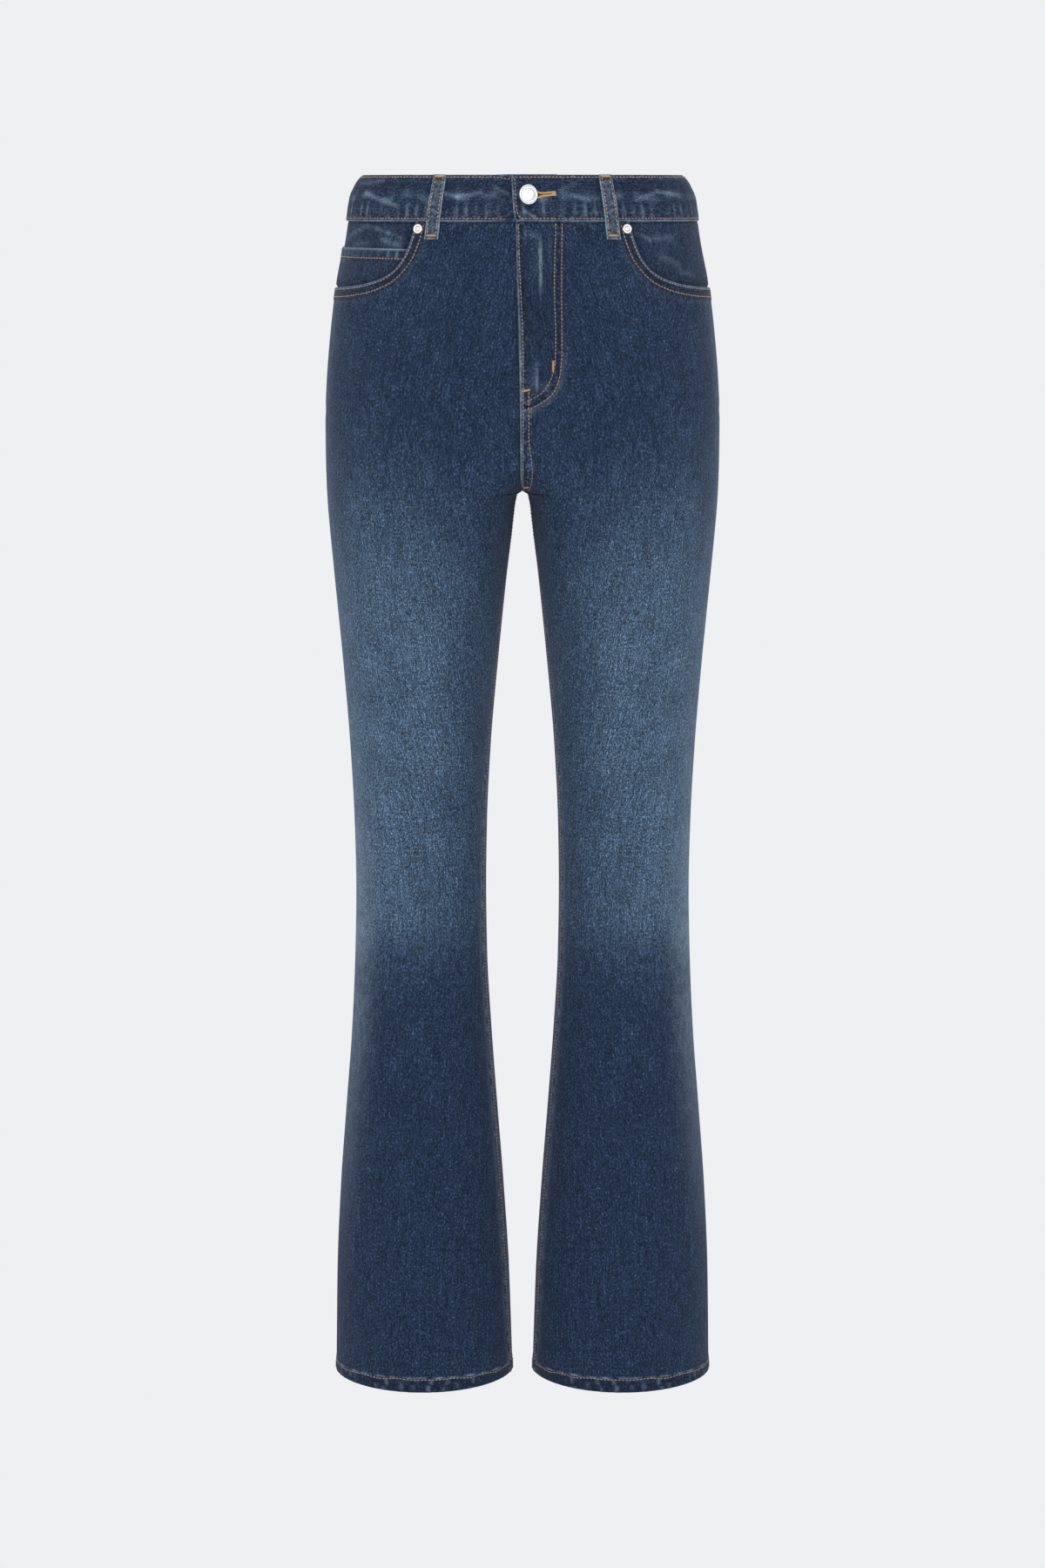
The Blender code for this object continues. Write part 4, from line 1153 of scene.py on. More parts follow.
def front_marks(s, drop, side):
    """All the seams of a front, added up: the mouth, the outseam, the waist seam, the fly or the edge under
    it, the seam below the fly, the inseam and the hem."""
    m, o = from_middle(s, drop), from_outseam(s, drop)
    d, _ = mouth_distance(s, drop)
    total = doubled_edge(
        np.where(drop < 150, d, FAR), MOUTH_BAND, MOUTH_ROWS, rim=0.85, halo=0.05, dark=0.5
    )
    total += side_seam(o, drop) * rise(drop, 99, 104)  # below the mouth
    total += under_band(drop)
    total[LIFT] += crease_lift(s, drop, FRONT_CREASES)
    at_crotch = rise(drop, CROTCH - 4, CROTCH + 3)
    above = 1 - at_crotch
    if side > 0:
        start = -read(FRONT_EDGE, drop)[0]
        edge = m - start
        j_distance, _ = nearest(m, drop, J_OUTER)
        j_x = np.interp(drop, J_LINE[:, 1], J_LINE[:, 0])
        inside = (m < j_x) & (drop < J_FOOT)
        signed = np.where(inside, j_distance, -j_distance)
        facing = rise(signed, -1.6, 0.4)
        inner_distance, _ = nearest(m, drop, J_INNER)
        total[LIFT] += (
            (0.45 * facing - 0.3 * hill(j_distance, 0, 1.1) - 0.3 * hill(inner_distance, 0, 1.1)) * above
        )
        total[RUB] += 0.12 * hill(-signed, 2.5, 4.0) * rise(drop, 120, 190) * (drop < 212)
        total[PUCKER] += 0.45 * hill(signed, 3.0, 5.0) * (drop < 212)
        total[DYE_AND_SHADE] += 0.45 * hill(signed, 3.0, 3.8) + 0.3 * facing * hill(drop, 122, 60) + 0.12 * facing
        for x, level, half_width, half_height, strength in FLY_SPOTS:
            total[RUB] += strength * hill(m, x, half_width) * hill(drop, level, half_height)
        total += doubled_edge(edge, 7.0, (FLAP_ROW,), thick=0.25, rim=0.85, halo=0.0, dark=0.3) * above
        total[PUCKER] += 0.3 * hill(edge, 3, 6) * above
        below_fly = rise(drop, 190, 194) * above
        row = hill(m, FORK_ROW, 1.2) * below_fly
        total[LIFT] += (0.3 * (1 - rise(m, 7.0, 9.5)) * rise(drop, 200, 210) - 0.3 * row) * above
        total[PUCKER] += 0.6 * hill(m, FORK_ROW, 3.5) * below_fly
    else:
        pressed = (1 - rise(m, 3.0, 12.0)) * (1 - rise(drop, FLY_END - 6, FLY_END + 22))
        tucked = (1 - rise(m, 0.6, 4.2)) * above
        total[LIFT] -= np.maximum(1.9 * pressed, 1.75 * tucked)
        # painted shadow on the right front along the edge of the left front that laps over it
        total[DYE_AND_SHADE] += 0.8 * (1 - rise(m, 0, 7)) * above
    inseam = leg_inseam(m, drop)
    worn = doubled_edge(inseam, 5.6, (INSEAM_ROW,), thick=0.5, rim=0.3, halo=0.12, dark=0.3) * at_crotch
    worn[PUCKER] += 0.5 * hill(inseam, INSEAM_ROW, 4.5) * at_crotch
    worn[RUB] += np.clip(0.2 + 0.5 * wavering(drop, 15, 83), 0, 0.5) * hill(inseam, 5.8, 2.6) * at_crotch
    return total + worn + hem_marks(s, drop, 11)


# %% The two fronts
def leg_panel(node, s, drop, shaped, side):
    """A front or a back: a wall CLOTH thick, and HEM_FOLD more where the hem is turned up inside."""
    up = hem_distance(s, drop)
    folded = HEM_FOLD * rise(-up, -HEM, -HEM + 1.5)
    inner = np.minimum(shaped[LIFT], 0.0) - CLOTH - folded + rounded(up, 1.0)
    inner = np.minimum(inner, shaped[LIFT] - 0.3)
    dress(wall(f"denim_{node}", s, drop, shaped, inner, side, (leg_denim, inner_denim)), node)


for side, label in SIDES_OF_BODY:
    s, drop = front_grid(side)
    leg_panel(f"front_{label}", s, drop, front_marks(s, drop, side), side)

# %% [markdown]
# The back panels meet the yokes above, and each other down the seat. The seat seam is felled: one edge is
# folded round the other, so two rows of stitches run beside a low ridge on the left panel.

# %% The two backs
YOKE_SIDE, YOKE_MIDDLE = 70.0, 100.0
BACK_LEVEL = 150.0


def yoke_seam(s):
    """Drop of the seam between yoke and back: a straight line from the outseam down to the centre back."""
    return YOKE_SIDE + (YOKE_MIDDLE - YOKE_SIDE) * (s - 1)


def back_grid():
    """s and drop of each place: close columns at the outseam and the seat seam, and even ones between."""
    rows = spaced((0, 13, 1.0), (13, BACK_LEVEL - YOKE_SIDE, 3.4))
    t = rows[:-1] / (BACK_LEVEL - YOKE_SIDE)
    leg = spaced(
        (BACK_LEVEL, 262, 3.6), (262, 300, 1.5), (300, 590, 4.6), (590, 700, 3.2), (700, LENGTH - 17, 5.2),
        *HEM_ROWS
    )
    level = np.concatenate([np.full(len(t), BACK_LEVEL), leg])[:, None]
    reach = half_length(False, level)
    first = spaced((0, 13, 1.2))
    even = np.linspace(0, 1, 62)[1:]
    last = spaced((0, 14, 1.15))[1:]
    s = 1 + np.concatenate([first + 0 * reach, 13 + (reach - 27) * even, reach - 14 + last], 1) / reach
    # the two backs meet past the middle, and the further the more the cloth leans there, so no slit shows
    lean = np.abs(cloth_frame(2.0, level)[1][..., 0])
    s[:, -1:] = 2.0 + (0.3 + 3.2 * np.clip(lean, 0, 0.7)) * (1 - rise(level, CROTCH - 3, CROTCH)) / reach
    top = yoke_seam(s[0])
    drop = np.concatenate([
        top + (BACK_LEVEL - top) * t[:, None], np.broadcast_to(leg[:, None], (len(leg), s.shape[1]))
    ])
    return s, hem_lifted(s, drop)


def back_marks(s, drop, side):
    """All the seams of a back: the yoke seam, the outseam, the seat seam, the inseam and the hem."""
    m, o = from_middle(s, drop), from_outseam(s, drop)
    total = side_seam(o, drop)
    below_yoke = (drop - yoke_seam(s)) * 0.98
    total += marks(
        -0.6 * bell(below_yoke, 1.2), 0.22 * hill(below_yoke, 4.5, 5), 0.3 * hill(below_yoke, 3, 4),
        0.5 * bell(below_yoke, 0.8)
    )
    total[LIFT] += crease_lift(s, drop, BACK_CREASES)
    above = 1 - rise(drop, CROTCH - 4, CROTCH + 3)
    if side > 0:
        total += doubled_edge(m, 9.0, DOUBLE_ROW, thick=0.55, rim=0.45, halo=0.25, dark=0.3) * above
    else:
        total += plain_seam(m, 0.7, 0.4, 0.6) * above
    inseam = leg_inseam(m, drop)
    total += (
        marks(
            0.3 * hill(inseam, 4, 4) - rounded(inseam, 1.0), 0.3 * hill(inseam, 3.5, 5),
            0.4 * hill(inseam, 3, 5), 0.6 * bell(inseam, 0.8)
        ) * (1 - above)
    )
    return total + hem_marks(s, drop, 23)


for side, label in SIDES_OF_BODY:
    s, drop = back_grid()
    leg_panel(f"back_{label}", s, drop, back_marks(s, drop, side), side)

# %% [markdown]
# ## The yokes
# Jeans have no darts: the yoke, a wedge across the back between the waistband and the panels, gives the
# seat its shape. It is folded over the panel and sewn twice.

# %% The two yokes
def yoke_marks(s, drop, side):
    """The yoke's lower edge is doubled, and so is the seat seam on the left one."""
    m, o = from_middle(s, drop), from_outseam(s, drop)
    up = (yoke_seam(s) - drop) * 0.98
    total = doubled_edge(up, 9.0, DOUBLE_ROW, thick=0.45, rim=0.5, halo=0.22, dark=0.3)
    total += side_seam(o, drop)
    total += under_band(drop)
    if side > 0:
        total += doubled_edge(m, 9.0, DOUBLE_ROW, thick=0.4, rim=0.4, halo=0.2, dark=0.25)
    else:
        total += plain_seam(m, 0.6, 0.3, 0.5)
    return total


for side, label in SIDES_OF_BODY:
    reach = float(half_length(False, YOKE_SIDE))
    columns = 1 + spaced((0, 13, 1.2), (13, reach - 14, 3.0), (reach - 14, reach + 0.3, 1.15)) / reach
    down = spaced((0, 0.74, 0.05), (0.74, 1.0, 0.022))[:, None]
    foot = yoke_seam(columns) + 0.2
    drop = FRONT_TOP + (foot - FRONT_TOP) * down
    s = columns + 0 * drop
    shaped = yoke_marks(s, drop, side)
    yoke = wall(
        f"denim_yoke_{label}", s, drop, shaped, np.minimum(shaped[LIFT], 0) - CLOTH, side,
        (leg_denim, inner_denim)
    )
    dress(yoke, f"yoke_{label}")

# %% [markdown]
# ## The waistband
# One long strip, cut so that its warp runs round the waist, folded at the top and sewn with a row of
# stitches near each edge. Its upper end crosses the middle and its under end runs 34 mm on behind it. The
# lower half is crimped by its sewing, which shows as short upright streaks, rubbed pale. The grid runs the
# whole way round, so s passes 2 at the centre back and comes back as a negative s on the wearer's right.

# %% The waistband's grid
UNDERLAP_STEP, UNDERLAP_END = 3.6, 34.0  # how far the under end is pressed in, and runs past the middle
BAND_OUT, BAND_IN = 1.0, -1.6  # offsets of its two faces
TOP_ROW, LOW_ROW = 2.5, 2.6  # from its top edge and its lower edge to a row of stitches
band_rows = spaced(
    (0, 1.4, 0.28), (1.4, 6, 0.8), (6, 34, 2.0), (34, 39.1, 0.8), (39.1, WAISTBAND, 0.28)
)[:, None]
band_reach = half_length(True, band_rows)
band_start = -read(TAB_EDGE, band_rows)[0] / band_reach
band_end = 4 + UNDERLAP_END / float(half_length(True, WAISTBAND))
lead = spaced((0, 4, 0.4), (4, 60, 2.0)) / 60
around = np.concatenate(
    [
        band_start + (0.26 - band_start) * lead,
        np.linspace(0.26, 3.74, 350)[1:] + 0 * band_rows,
        np.linspace(3.74, band_end, 44)[1:] + 0 * band_rows,
    ],
    1,
)
band_s = np.where(around > 2, around - 4, around)
band_drop = band_rows + 0 * band_s


def along_band(s, drop):
    """Millimetres round the waist from the centre front, the way that the wearer's left goes first,
    measured at the band's middle so that upright streaks stay upright."""
    front, back = (float(half_length(way, WAISTBAND / 2)) for way in (True, False))
    s = np.where(np.asarray(s) < 0, 4 + np.asarray(s), s) + 0 * np.asarray(drop, float)
    return front * np.clip(s, None, 1) + back * (np.clip(s, 1, 3) - 1) + front * (np.clip(s, 3, None) - 3)


WAIST_ROUND = float(along_band(-1e-6, 20.0))
print("round the waist, mm:", round(WAIST_ROUND))


# %% The waistband's seams and wrinkles
WISPS = (
    # x and drop of its start, x and drop of its end, half width, strength: wrinkles of the band, rubbed
    # pale
    (-143, 8.3, -122, 6.0, 3.0, 0.24), (-137, 15.9, -110, 27.2, 2.8, 0.36),
    (-72, 14.6, -56, 19.8, 2.6, 0.4), (-56, 19.8, -36, 15.4, 2.6, 0.36), (-24, 11.3, -12.5, 16.4, 2.4, 0.3),
    (1.5, 31, 11.6, 38.0, 2.6, 0.3), (33, 13.9, 46, 8.3, 2.8, 0.24), (44, 18.4, 58, 22.2, 2.6, 0.26),
    (99, 22.4, 118, 14.8, 2.6, 0.34), (118, 14.8, 137, 18.4, 2.8, 0.32),
)


def wisps(table, across, drop, across_at):
    """The rub of a table's wisps: each is a hill across a short line. across_at turns x and drop into
    across."""
    total = 0.0
    for x0, drop0, x1, drop1, half_width, strength in table:
        ends = [(across_at(x0, drop0), drop0), (across_at(x1, drop1), drop1)]
        total = total + strength * hill(nearest(across, drop, ends)[0], 0, half_width)
    return total


def outseam_at_x(x, drop):
    """Millimetres from the outseam of a place seen from the front."""
    return float(from_outseam(s_at_x(x, drop), drop)[0])


def along_at_x(x, drop):
    """Millimetres round the waist of a place seen from the front."""
    return float(along_band(s_at_x(x, drop), drop)[0])


def band_press(along):
    """How far the under end is pushed in behind the upper one."""
    pressed_to = WAIST_ROUND - 12.2
    return UNDERLAP_STEP * rise(along, pressed_to - 13, pressed_to)


def band_marks(along, drop, edge=FAR):
    """along is the way round in mm, and edge the distance in from the upper end."""
    up, down, edge = drop, WAISTBAND - drop, edge + 0 * drop
    crimp = wavering(along, 6.5, 31)
    fold = wavering(along, 46, 32)
    ripple = wavering(along, 19, 33)
    total = doubled_edge(up, 60.0, (TOP_ROW,), thick=0.0, rim=0.35, halo=0.0, dark=0.0, round_off=1.3)
    total += doubled_edge(down, 60.0, (LOW_ROW,), thick=0.0, rim=1.0, halo=0.0, dark=0.0, round_off=1.0)
    total += doubled_edge(edge, 60.0, (2.7,), thick=0.0, rim=0.95, halo=0.0, dark=0.0, round_off=1.0)
    lower = hill(drop, 31, 9.5)
    haze = hill(drop - (19.5 + 3.5 * fold), 0, 5.0) * np.clip(0.35 + 0.65 * ripple, 0, 1)
    total += marks(
        0.16 * crimp * hill(down, 4, 9) + 0.10 * crimp * hill(up, 4, 6)
        + 0.5 * (hill(drop - (19.5 + 3.5 * fold), 0, 7.0) - 0.5),
        lower * np.clip(0.62 * crimp * (0.6 + 0.6 * ripple) - 0.07, 0, 0.55) + 0.34 * haze,
        0.3 * hill(drop, 33, 6),
        0.3 * hill(drop - (19.5 + 3.5 * fold), -7, 6.0) * np.clip(0.5 - ripple, 0, 1)
        + 0.24 * hill(up, 9, 8) + lower * np.clip(0.06 - 0.65 * crimp, 0, 0.55),
    )
    total[RUB] += wisps(WISPS, along, drop, along_at_x)
    return total


# %% Cutting the buttonhole
BUTTON_X, BUTTON_DROP = 4.0, 18.2
HOLE_SLOPE = 0.10  # how fast the stitches round it climb, going away from the button
HOLE_EDGE = ((0, 3.1), (3, 3.0), (7, 2.2), (10, 1.2), (13, 0.42), (24, 0.3))  # from the button, half width


def hole_outline():
    """x and drop round the buttonhole: an eyelet about the shank, which the pull of the button draws to a
    point."""
    x, half_width = np.array(HOLE_EDGE, float).T
    along = np.linspace(0, x[-1], 26)
    half_width = np.interp(along, x, half_width)
    turn = np.linspace(math.pi / 2, 3 * math.pi / 2, 9)[1:-1]
    across = np.concatenate([along[::-1], half_width[0] * np.cos(turn), along])
    down = np.concatenate([half_width[::-1], half_width[0] * np.sin(turn), -half_width])
    return BUTTON_X + across, BUTTON_DROP + down


hole_x, hole_drop = hole_outline()
hole_s = s_at_x(hole_x, hole_drop)
ring_low, ring_high = cloth(hole_s, hole_drop, -2.2), cloth(hole_s, hole_drop, 3.0)
n = len(hole_s)
low_cap, high_cap = np.arange(n)[None, ::-1], np.arange(n)[None, :] + n
sides = np.stack([np.arange(n), (np.arange(n) + 1) % n, (np.arange(n) + 1) % n + n, np.arange(n) + n], 1)
cutter = mesh_piece(
    "buttonhole_cutter", np.concatenate([ring_low, ring_high]), [low_cap, high_cap, sides], (band_denim,),
    uv=np.zeros((2 * n, 2))
)

band_along = along_band(around, band_drop)
band_along = np.where(around < 0, band_along - WAIST_ROUND, band_along)
tab = band_along - band_along[:, :1]
shaped = band_marks(band_along, band_drop, tab)
press = band_press(band_along)
lean = cloth_frame(band_s, band_drop)[1][..., 2]
band_drop = band_drop - 0.35 * press * lean  # pressed in, and only a little down
band_uv = np.stack([band_along, -band_rows + 0 * band_s], -1) * MM
edge_in = rounded(band_rows, 1.3) + rounded(WAISTBAND - band_rows, 1.0)
waistband = wall(
    "denim_waistband", band_s, band_drop, shaped, BAND_IN - press + edge_in, 1, (band_denim, inner_denim),
    uv=band_uv, base=BAND_OUT - press, paleness=0.04
)
cut = waistband.modifiers.new("buttonhole", "BOOLEAN")
cut.object, cut.solver = cutter, "EXACT"
bpy.context.view_layer.update()
cut_mesh = bpy.data.meshes.new_from_object(waistband.evaluated_get(bpy.context.evaluated_depsgraph_get()))
waistband.modifiers.clear()
waistband.data = cut_mesh
bpy.data.objects.remove(cutter)
print("faces of the waistband after the cut:", len(cut_mesh.polygons))
dress(waistband, "waistband")

# %% [markdown]
# ## Behind the openings
# The facing is the denim that shows inside the mouth of a front pocket. It is sewn in with the outseam, so
# it lies level with the legs there, and sinks behind the front's folded edge. The small coin pocket lies on
# the right one, and its top edge is folded and sewn 8.6 mm down. The shield behind the fly is plain.

# %% Facings
def in_the_mouth(s, drop):
    """Distance from the mouth's edge, positive in the opening and negative behind the front."""
    d, _ = mouth_distance(s, drop)
    level = np.interp(s, MOUTH_S, MOUTH_DROP)
    return np.where((s > MOUTH_S[0]) & (drop < level), d, -d)


def facing_base(s, drop, side):
    """Offset of the facing: near the legs' surface in the opening, and pressed in behind the front."""
    outer = rise(s, 0.78, 0.97)
    shown = rise(in_the_mouth(s, drop), 0.5 - outer, 8.0 - 5.5 * outer)
    under, level = (-2.1, -0.5) if side > 0 else (-3.3, -1.2)
    return under + (level - under) * shown - 0.4 * bell(drop - WAISTBAND, 2.0) * shown


FACING_WISPS = {
    # x and drop of both ends, half width, strength, for the wearer's left and right: rubbed by the hands
    1: ((99, 50, 112, 56, 3.0, 0.22), (112, 56, 131, 54, 4.0, 0.26), (120, 70, 138, 78, 5.0, 0.2),
        (138, 84, 152, 88, 4.0, 0.16)),
    -1: ((157, 57, 138, 44, 3.0, 0.3), (138, 44, 118, 50, 2.6, 0.26), (118, 50, 106, 55, 2.4, 0.2),
         (124, 56, 108, 61, 3.6, 0.34), (152, 62, 138, 59, 3.6, 0.2)),
}


def facing_marks(s, drop, side):
    """The facing is rubbed where a hand goes in. Shade is painted under the band and along the front's
    folded edge, and a darker band and patches lie a little further in.
    """
    d = in_the_mouth(s, drop)
    wave = wavering(s * 220 + drop * 0.8, 26, 41 + side)
    corner = hill(1 - s, 0.06, 0.2)
    rub = corner * (0.1 * hill(d, 9, 10) + 0.15 * hill(drop, 50, 12)) * np.clip(0.45 + 0.8 * wave, 0, 1)
    rub = rub + 0.8 * wisps(FACING_WISPS[side], from_outseam(s, drop), drop, outseam_at_x)
    # painted shade along the mouth's edge and under the band, then a darker band and patches further in
    dye_and_shade = 0.62 * bell(d, 1.8) + 0.45 * bell(drop - WAISTBAND, 2.0) + 0.3 * hill(d, 3, 9)
    dye_and_shade = dye_and_shade + 0.3 * np.clip(0.5 - wave, 0, 1) * rise(d, 3, 9)
    return marks(0.25 * wave * hill(d, 12, 12) - 0.5 * bell(from_outseam(s, drop), 1.1), rub, 0.1, dye_and_shade)


POCKET_TUCK = 11.0  # how far a facing goes on behind the mouth's edge
FACING_TOP = FRONT_TOP - 4.0  # caught between the two layers of the band
FRONT_SPAN = 225  # mm round a front at the pockets
FACING_CLOTH, COIN_CLOTH, COIN_OVER = 1.2, 1.0, 1.2  # two thicknesses, and the coin pocket over the facing
facing_s = spaced(
    (MOUTH_S[0] - POCKET_TUCK / FRONT_SPAN, 0.56, 0.0062), (0.56, 0.95, 0.013), (0.95, 1.0, 0.006)
)
facing_foot = np.interp(facing_s, MOUTH_S, MOUTH_DROP) + POCKET_TUCK
for side, label in SIDES_OF_BODY:
    down = spaced((0, 0.06, 0.03), (0.06, 0.7, 0.033), (0.7, 1.0, 0.0115))[:, None]
    drop = FACING_TOP + (facing_foot - FACING_TOP) * down
    s = facing_s + 0 * drop
    shaped, base = facing_marks(s, drop, side), facing_base(s, drop, side)
    facing = wall(
        f"denim_facing_{label}", s, drop, shaped, base + shaped[LIFT] - FACING_CLOTH, side,
        (trim_denim, inner_denim), base=base, paleness=0.02
    )
    dress(facing, f"pocket_facing_{label}")

# %% The coin pocket
COIN_TOP, COIN_SLOPE, COIN_ROW = 62.8, 1.5, 8.6


def coin_top(s):
    """Drop of the coin pocket's top edge."""
    share = (s - facing_s[0]) / (facing_s[-1] - facing_s[0])
    return COIN_TOP + COIN_SLOPE * (1 - share)


def coin_base(s, drop):
    """The coin pocket lies on the right facing, and its free edge stands off it a little."""
    return facing_base(s, drop, -1) + COIN_OVER + 0.35 * hill(drop - coin_top(s), 0, 9)


def coin_marks(s, drop):
    """A folded top edge with one row of stitches, upright crimps above it, a pale halo below, and painted
    shade along the front's edge.
    """
    down = drop - coin_top(s)
    d = in_the_mouth(s, drop)
    crimp = wavering(s * FRONT_SPAN, 7, 52)
    total = doubled_edge(down, COIN_ROW + 1.4, (COIN_ROW,), thick=0.35, rim=1.0, halo=0.0, dark=0.22)
    band = rise(down, 0.8, 2) * (1 - rise(down, COIN_ROW - 1, COIN_ROW))
    wave, outer = wavering(s * FRONT_SPAN, 34, 53), rise(s, 0.72, 0.92)
    # the last layer is painted shade along the front's folded edge, and darker on the inner part outside
    # the stitched strip
    return (
        total
        + marks(
            0.12 * crimp * band,
            np.clip(0.45 * crimp, 0, 0.45) * band + 0.6 * bell(down, 1.5)
            + outer
            * (
                0.4 * hill(down, 0.8, 2.4) + 0.42 * hill(down, COIN_ROW + 3.2, 3.0)
                + 0.2 * hill(down, COIN_ROW + 12, 10)
            ) * np.clip(0.6 + 0.6 * wave, 0, 1), 0.0, 0.6 * bell(d, 1.8) + 0.25 * (1 - outer) * (1 - band)
        )
    )


coin_down = spaced((0, 0.3, 0.03), (0.3, 0.75, 0.045), (0.75, 1, 0.022))[:, None]
s = facing_s[1:] + 0 * coin_down
coin_foot = np.maximum(facing_foot[1:] - 3, coin_top(s[0]) + 8)
drop = coin_top(s) + (coin_foot - coin_top(s)) * coin_down
shaped, base = coin_marks(s, drop), coin_base(s, drop)
coin = wall(
    "denim_coin_pocket", s, drop, shaped, np.minimum(base, base + shaped[LIFT]) - COIN_CLOTH, -1,
    (trim_denim, inner_denim), base=base, paleness=0.12
)
dress(coin, "coin_pocket")

# %% The fly shield
SHIELD_OUT, SHIELD_IN = -4.2, -5.4  # offsets of its two faces
x = np.linspace(-13, 36, 22)
drop = np.linspace(FRONT_TOP, FLY_END - 8, 50)[:, None]
s = x / half_length(True, drop)
drop = drop - 16 * np.clip((x - 20) / 16, 0, 1) ** 2 * (drop - WAISTBAND) / (FLY_END - WAISTBAND)
edge = np.minimum(x + 13, 36 - x) + 0 * drop
shaped = doubled_edge(edge, 5.0, (2.2,), thick=0.2)
shaped[LIFT] = np.maximum(shaped[LIFT], -0.5)
shield_uv = np.stack([x + 0 * drop, -drop], -1) * MM
shield = wall(
    "denim_fly_shield", s, drop, shaped, SHIELD_IN, 1, (inner_denim, inner_denim), uv=shield_uv,
    base=SHIELD_OUT, paleness=0.1
)
dress(shield, "fly_shield")

# %% [markdown]
# ## Back pockets
# Two patch pockets with five sides are sewn on the seat by a double row round their sides and foot. Their
# top edge is folded in and sewn twice. The photograph shows only the front, so these are plain, with no
# pattern stitched on them.

# %% The two back pockets
# drop of its top, half its width there and at the foot, length of its sides, depth of its point, its s
BACK_POCKET = dict(top=118.0, half=61.0, foot_half=54.0, sides=110.0, point=20.0, place=1.50)
POCKET_OUT, POCKET_IN = 1.6, 0.35  # offsets of its two faces
POCKET_TOP_ROWS = (1.9, 12.6)
pocket_reach = float(half_length(False, BACK_POCKET["top"]))


def pocket_outline():
    """The pocket's sides and foot as a line, in mm from the outseam and drop."""
    middle = (BACK_POCKET["place"] - 1) * pocket_reach
    top, side, foot = BACK_POCKET["top"], BACK_POCKET["sides"], BACK_POCKET["point"]
    half_width, narrow = BACK_POCKET["half"], BACK_POCKET["foot_half"]
    return [
        (middle - half_width, top), (middle - narrow, top + side), (middle, top + side + foot),
        (middle + narrow, top + side), (middle + half_width, top)
    ]


POCKET_LINE = pocket_outline()


def back_pocket_marks(s, drop):
    """Doubled round the sides and foot, and along the top."""
    across = from_outseam(s, drop)
    d, _ = nearest(across, drop, POCKET_LINE)
    total = doubled_edge(d, 9.0, DOUBLE_ROW, thick=0.25, rim=0.9, halo=0.2, dark=0.28)
    total += doubled_edge(
        drop - BACK_POCKET["top"], 14.0, POCKET_TOP_ROWS, thick=0.3, rim=0.9, halo=0.25, dark=0.1
    )
    middle = hill(across, POCKET_LINE[2][0], 44) * hill(drop, 168, 48)
    total += marks(0.5 * middle, 0.12 * middle, 0.0, 0.0)
    return total


for side, label in SIDES_OF_BODY:
    across = np.concatenate([
        -1 + spaced((0, 0.19, 0.021), (0.19, 1.0, 0.06))[:-1], spaced((0, 0.81, 0.06), (0.81, 1.0, 0.021))
    ])
    down = spaced((0, 0.14, 0.0085), (0.14, 0.85, 0.03), (0.85, 1.0, 0.009))[:, None]
    half_width = BACK_POCKET["half"] + (BACK_POCKET["foot_half"] - BACK_POCKET["half"]) * down
    drop = BACK_POCKET["top"] + (BACK_POCKET["sides"] + BACK_POCKET["point"] * (1 - np.abs(across))) * down
    s = BACK_POCKET["place"] + across * half_width / pocket_reach
    shaped = back_pocket_marks(s, drop)
    pocket = wall(
        f"denim_back_pocket_{label}", s, drop, shaped, POCKET_IN, side, (leg_denim, inner_denim),
        base=POCKET_OUT, paleness=fade(s, drop) + 0.18
    )
    dress(pocket, f"back_pocket_{label}")

# %% [markdown]
# ## Belt loops
# Each loop is a strap with both edges folded under, so it is thicker along them, with two rows of stitches
# and a dense bar of thread at each end. It stands off the waistband in the middle, where the belt goes.

# %% Five belt loops
LOOP_WIDTH, LOOP_TOP, LOOP_FOOT, LOOP_CLOTH, LOOP_BOW = 12.4, 1.0, 56.0, 1.5, 1.7
FRONT_LOOP_X, FRONT_LOOP_SLANT = 71.5, 8.1  # its top from the middle, and how much further out its foot is
BACK_LOOP = 1.40  # s
LOOP_ROW = 2.3  # from its edge to a row of stitches
LOOPS = (
    # name, s of its middle line or None for a slanted front loop, wearer's left or right
    ("front_left", None, 1), ("front_right", None, -1), ("back_left", BACK_LOOP, 1),
    ("back_right", BACK_LOOP, -1), ("back_middle", 2.0, 1),
)


def front_loop_middle(drop):
    """s of a front loop's middle line: its foot is further out than its top."""
    share = (drop - LOOP_TOP) / (LOOP_FOOT - LOOP_TOP)
    return s_at_x(FRONT_LOOP_X + FRONT_LOOP_SLANT * share, drop)


def loop_base(drop):
    """Offset of a loop's outer face: on the band at the top, bowed out, and down on the panel at its
    foot."""
    share = (drop - LOOP_TOP) / (LOOP_FOOT - LOOP_TOP)
    bow = LOOP_BOW * np.sin(math.pi * rise(share * 1.15, 0, 1)) ** 0.8
    foot = rise(drop, WAISTBAND + 1, WAISTBAND + 9)
    return (1.3 + bow) * (1 - foot) + 0.35 * foot + LOOP_CLOTH - 0.25


def loop_marks(across, drop):
    """across is mm from the loop's middle line."""
    d = LOOP_WIDTH / 2 - np.abs(across)
    end = np.minimum(drop - LOOP_TOP, LOOP_FOOT - drop)
    total = doubled_edge(d, 4.2, (LOOP_ROW,), thick=0.32, rim=0.95, halo=0.1, dark=0.2, round_off=0.7)
    total += marks(-rounded(end, 0.6), 0.75 * bell(end, 0.9), 0.25, 0.2 * hill(end, 3.5, 3))
    ladder = wavering(drop * 1.0 + across * 0.3, 4.5, 61)
    return total + marks(0.1 * ladder, 0.1 + 0.16 * ladder, 0.15, 0.0)


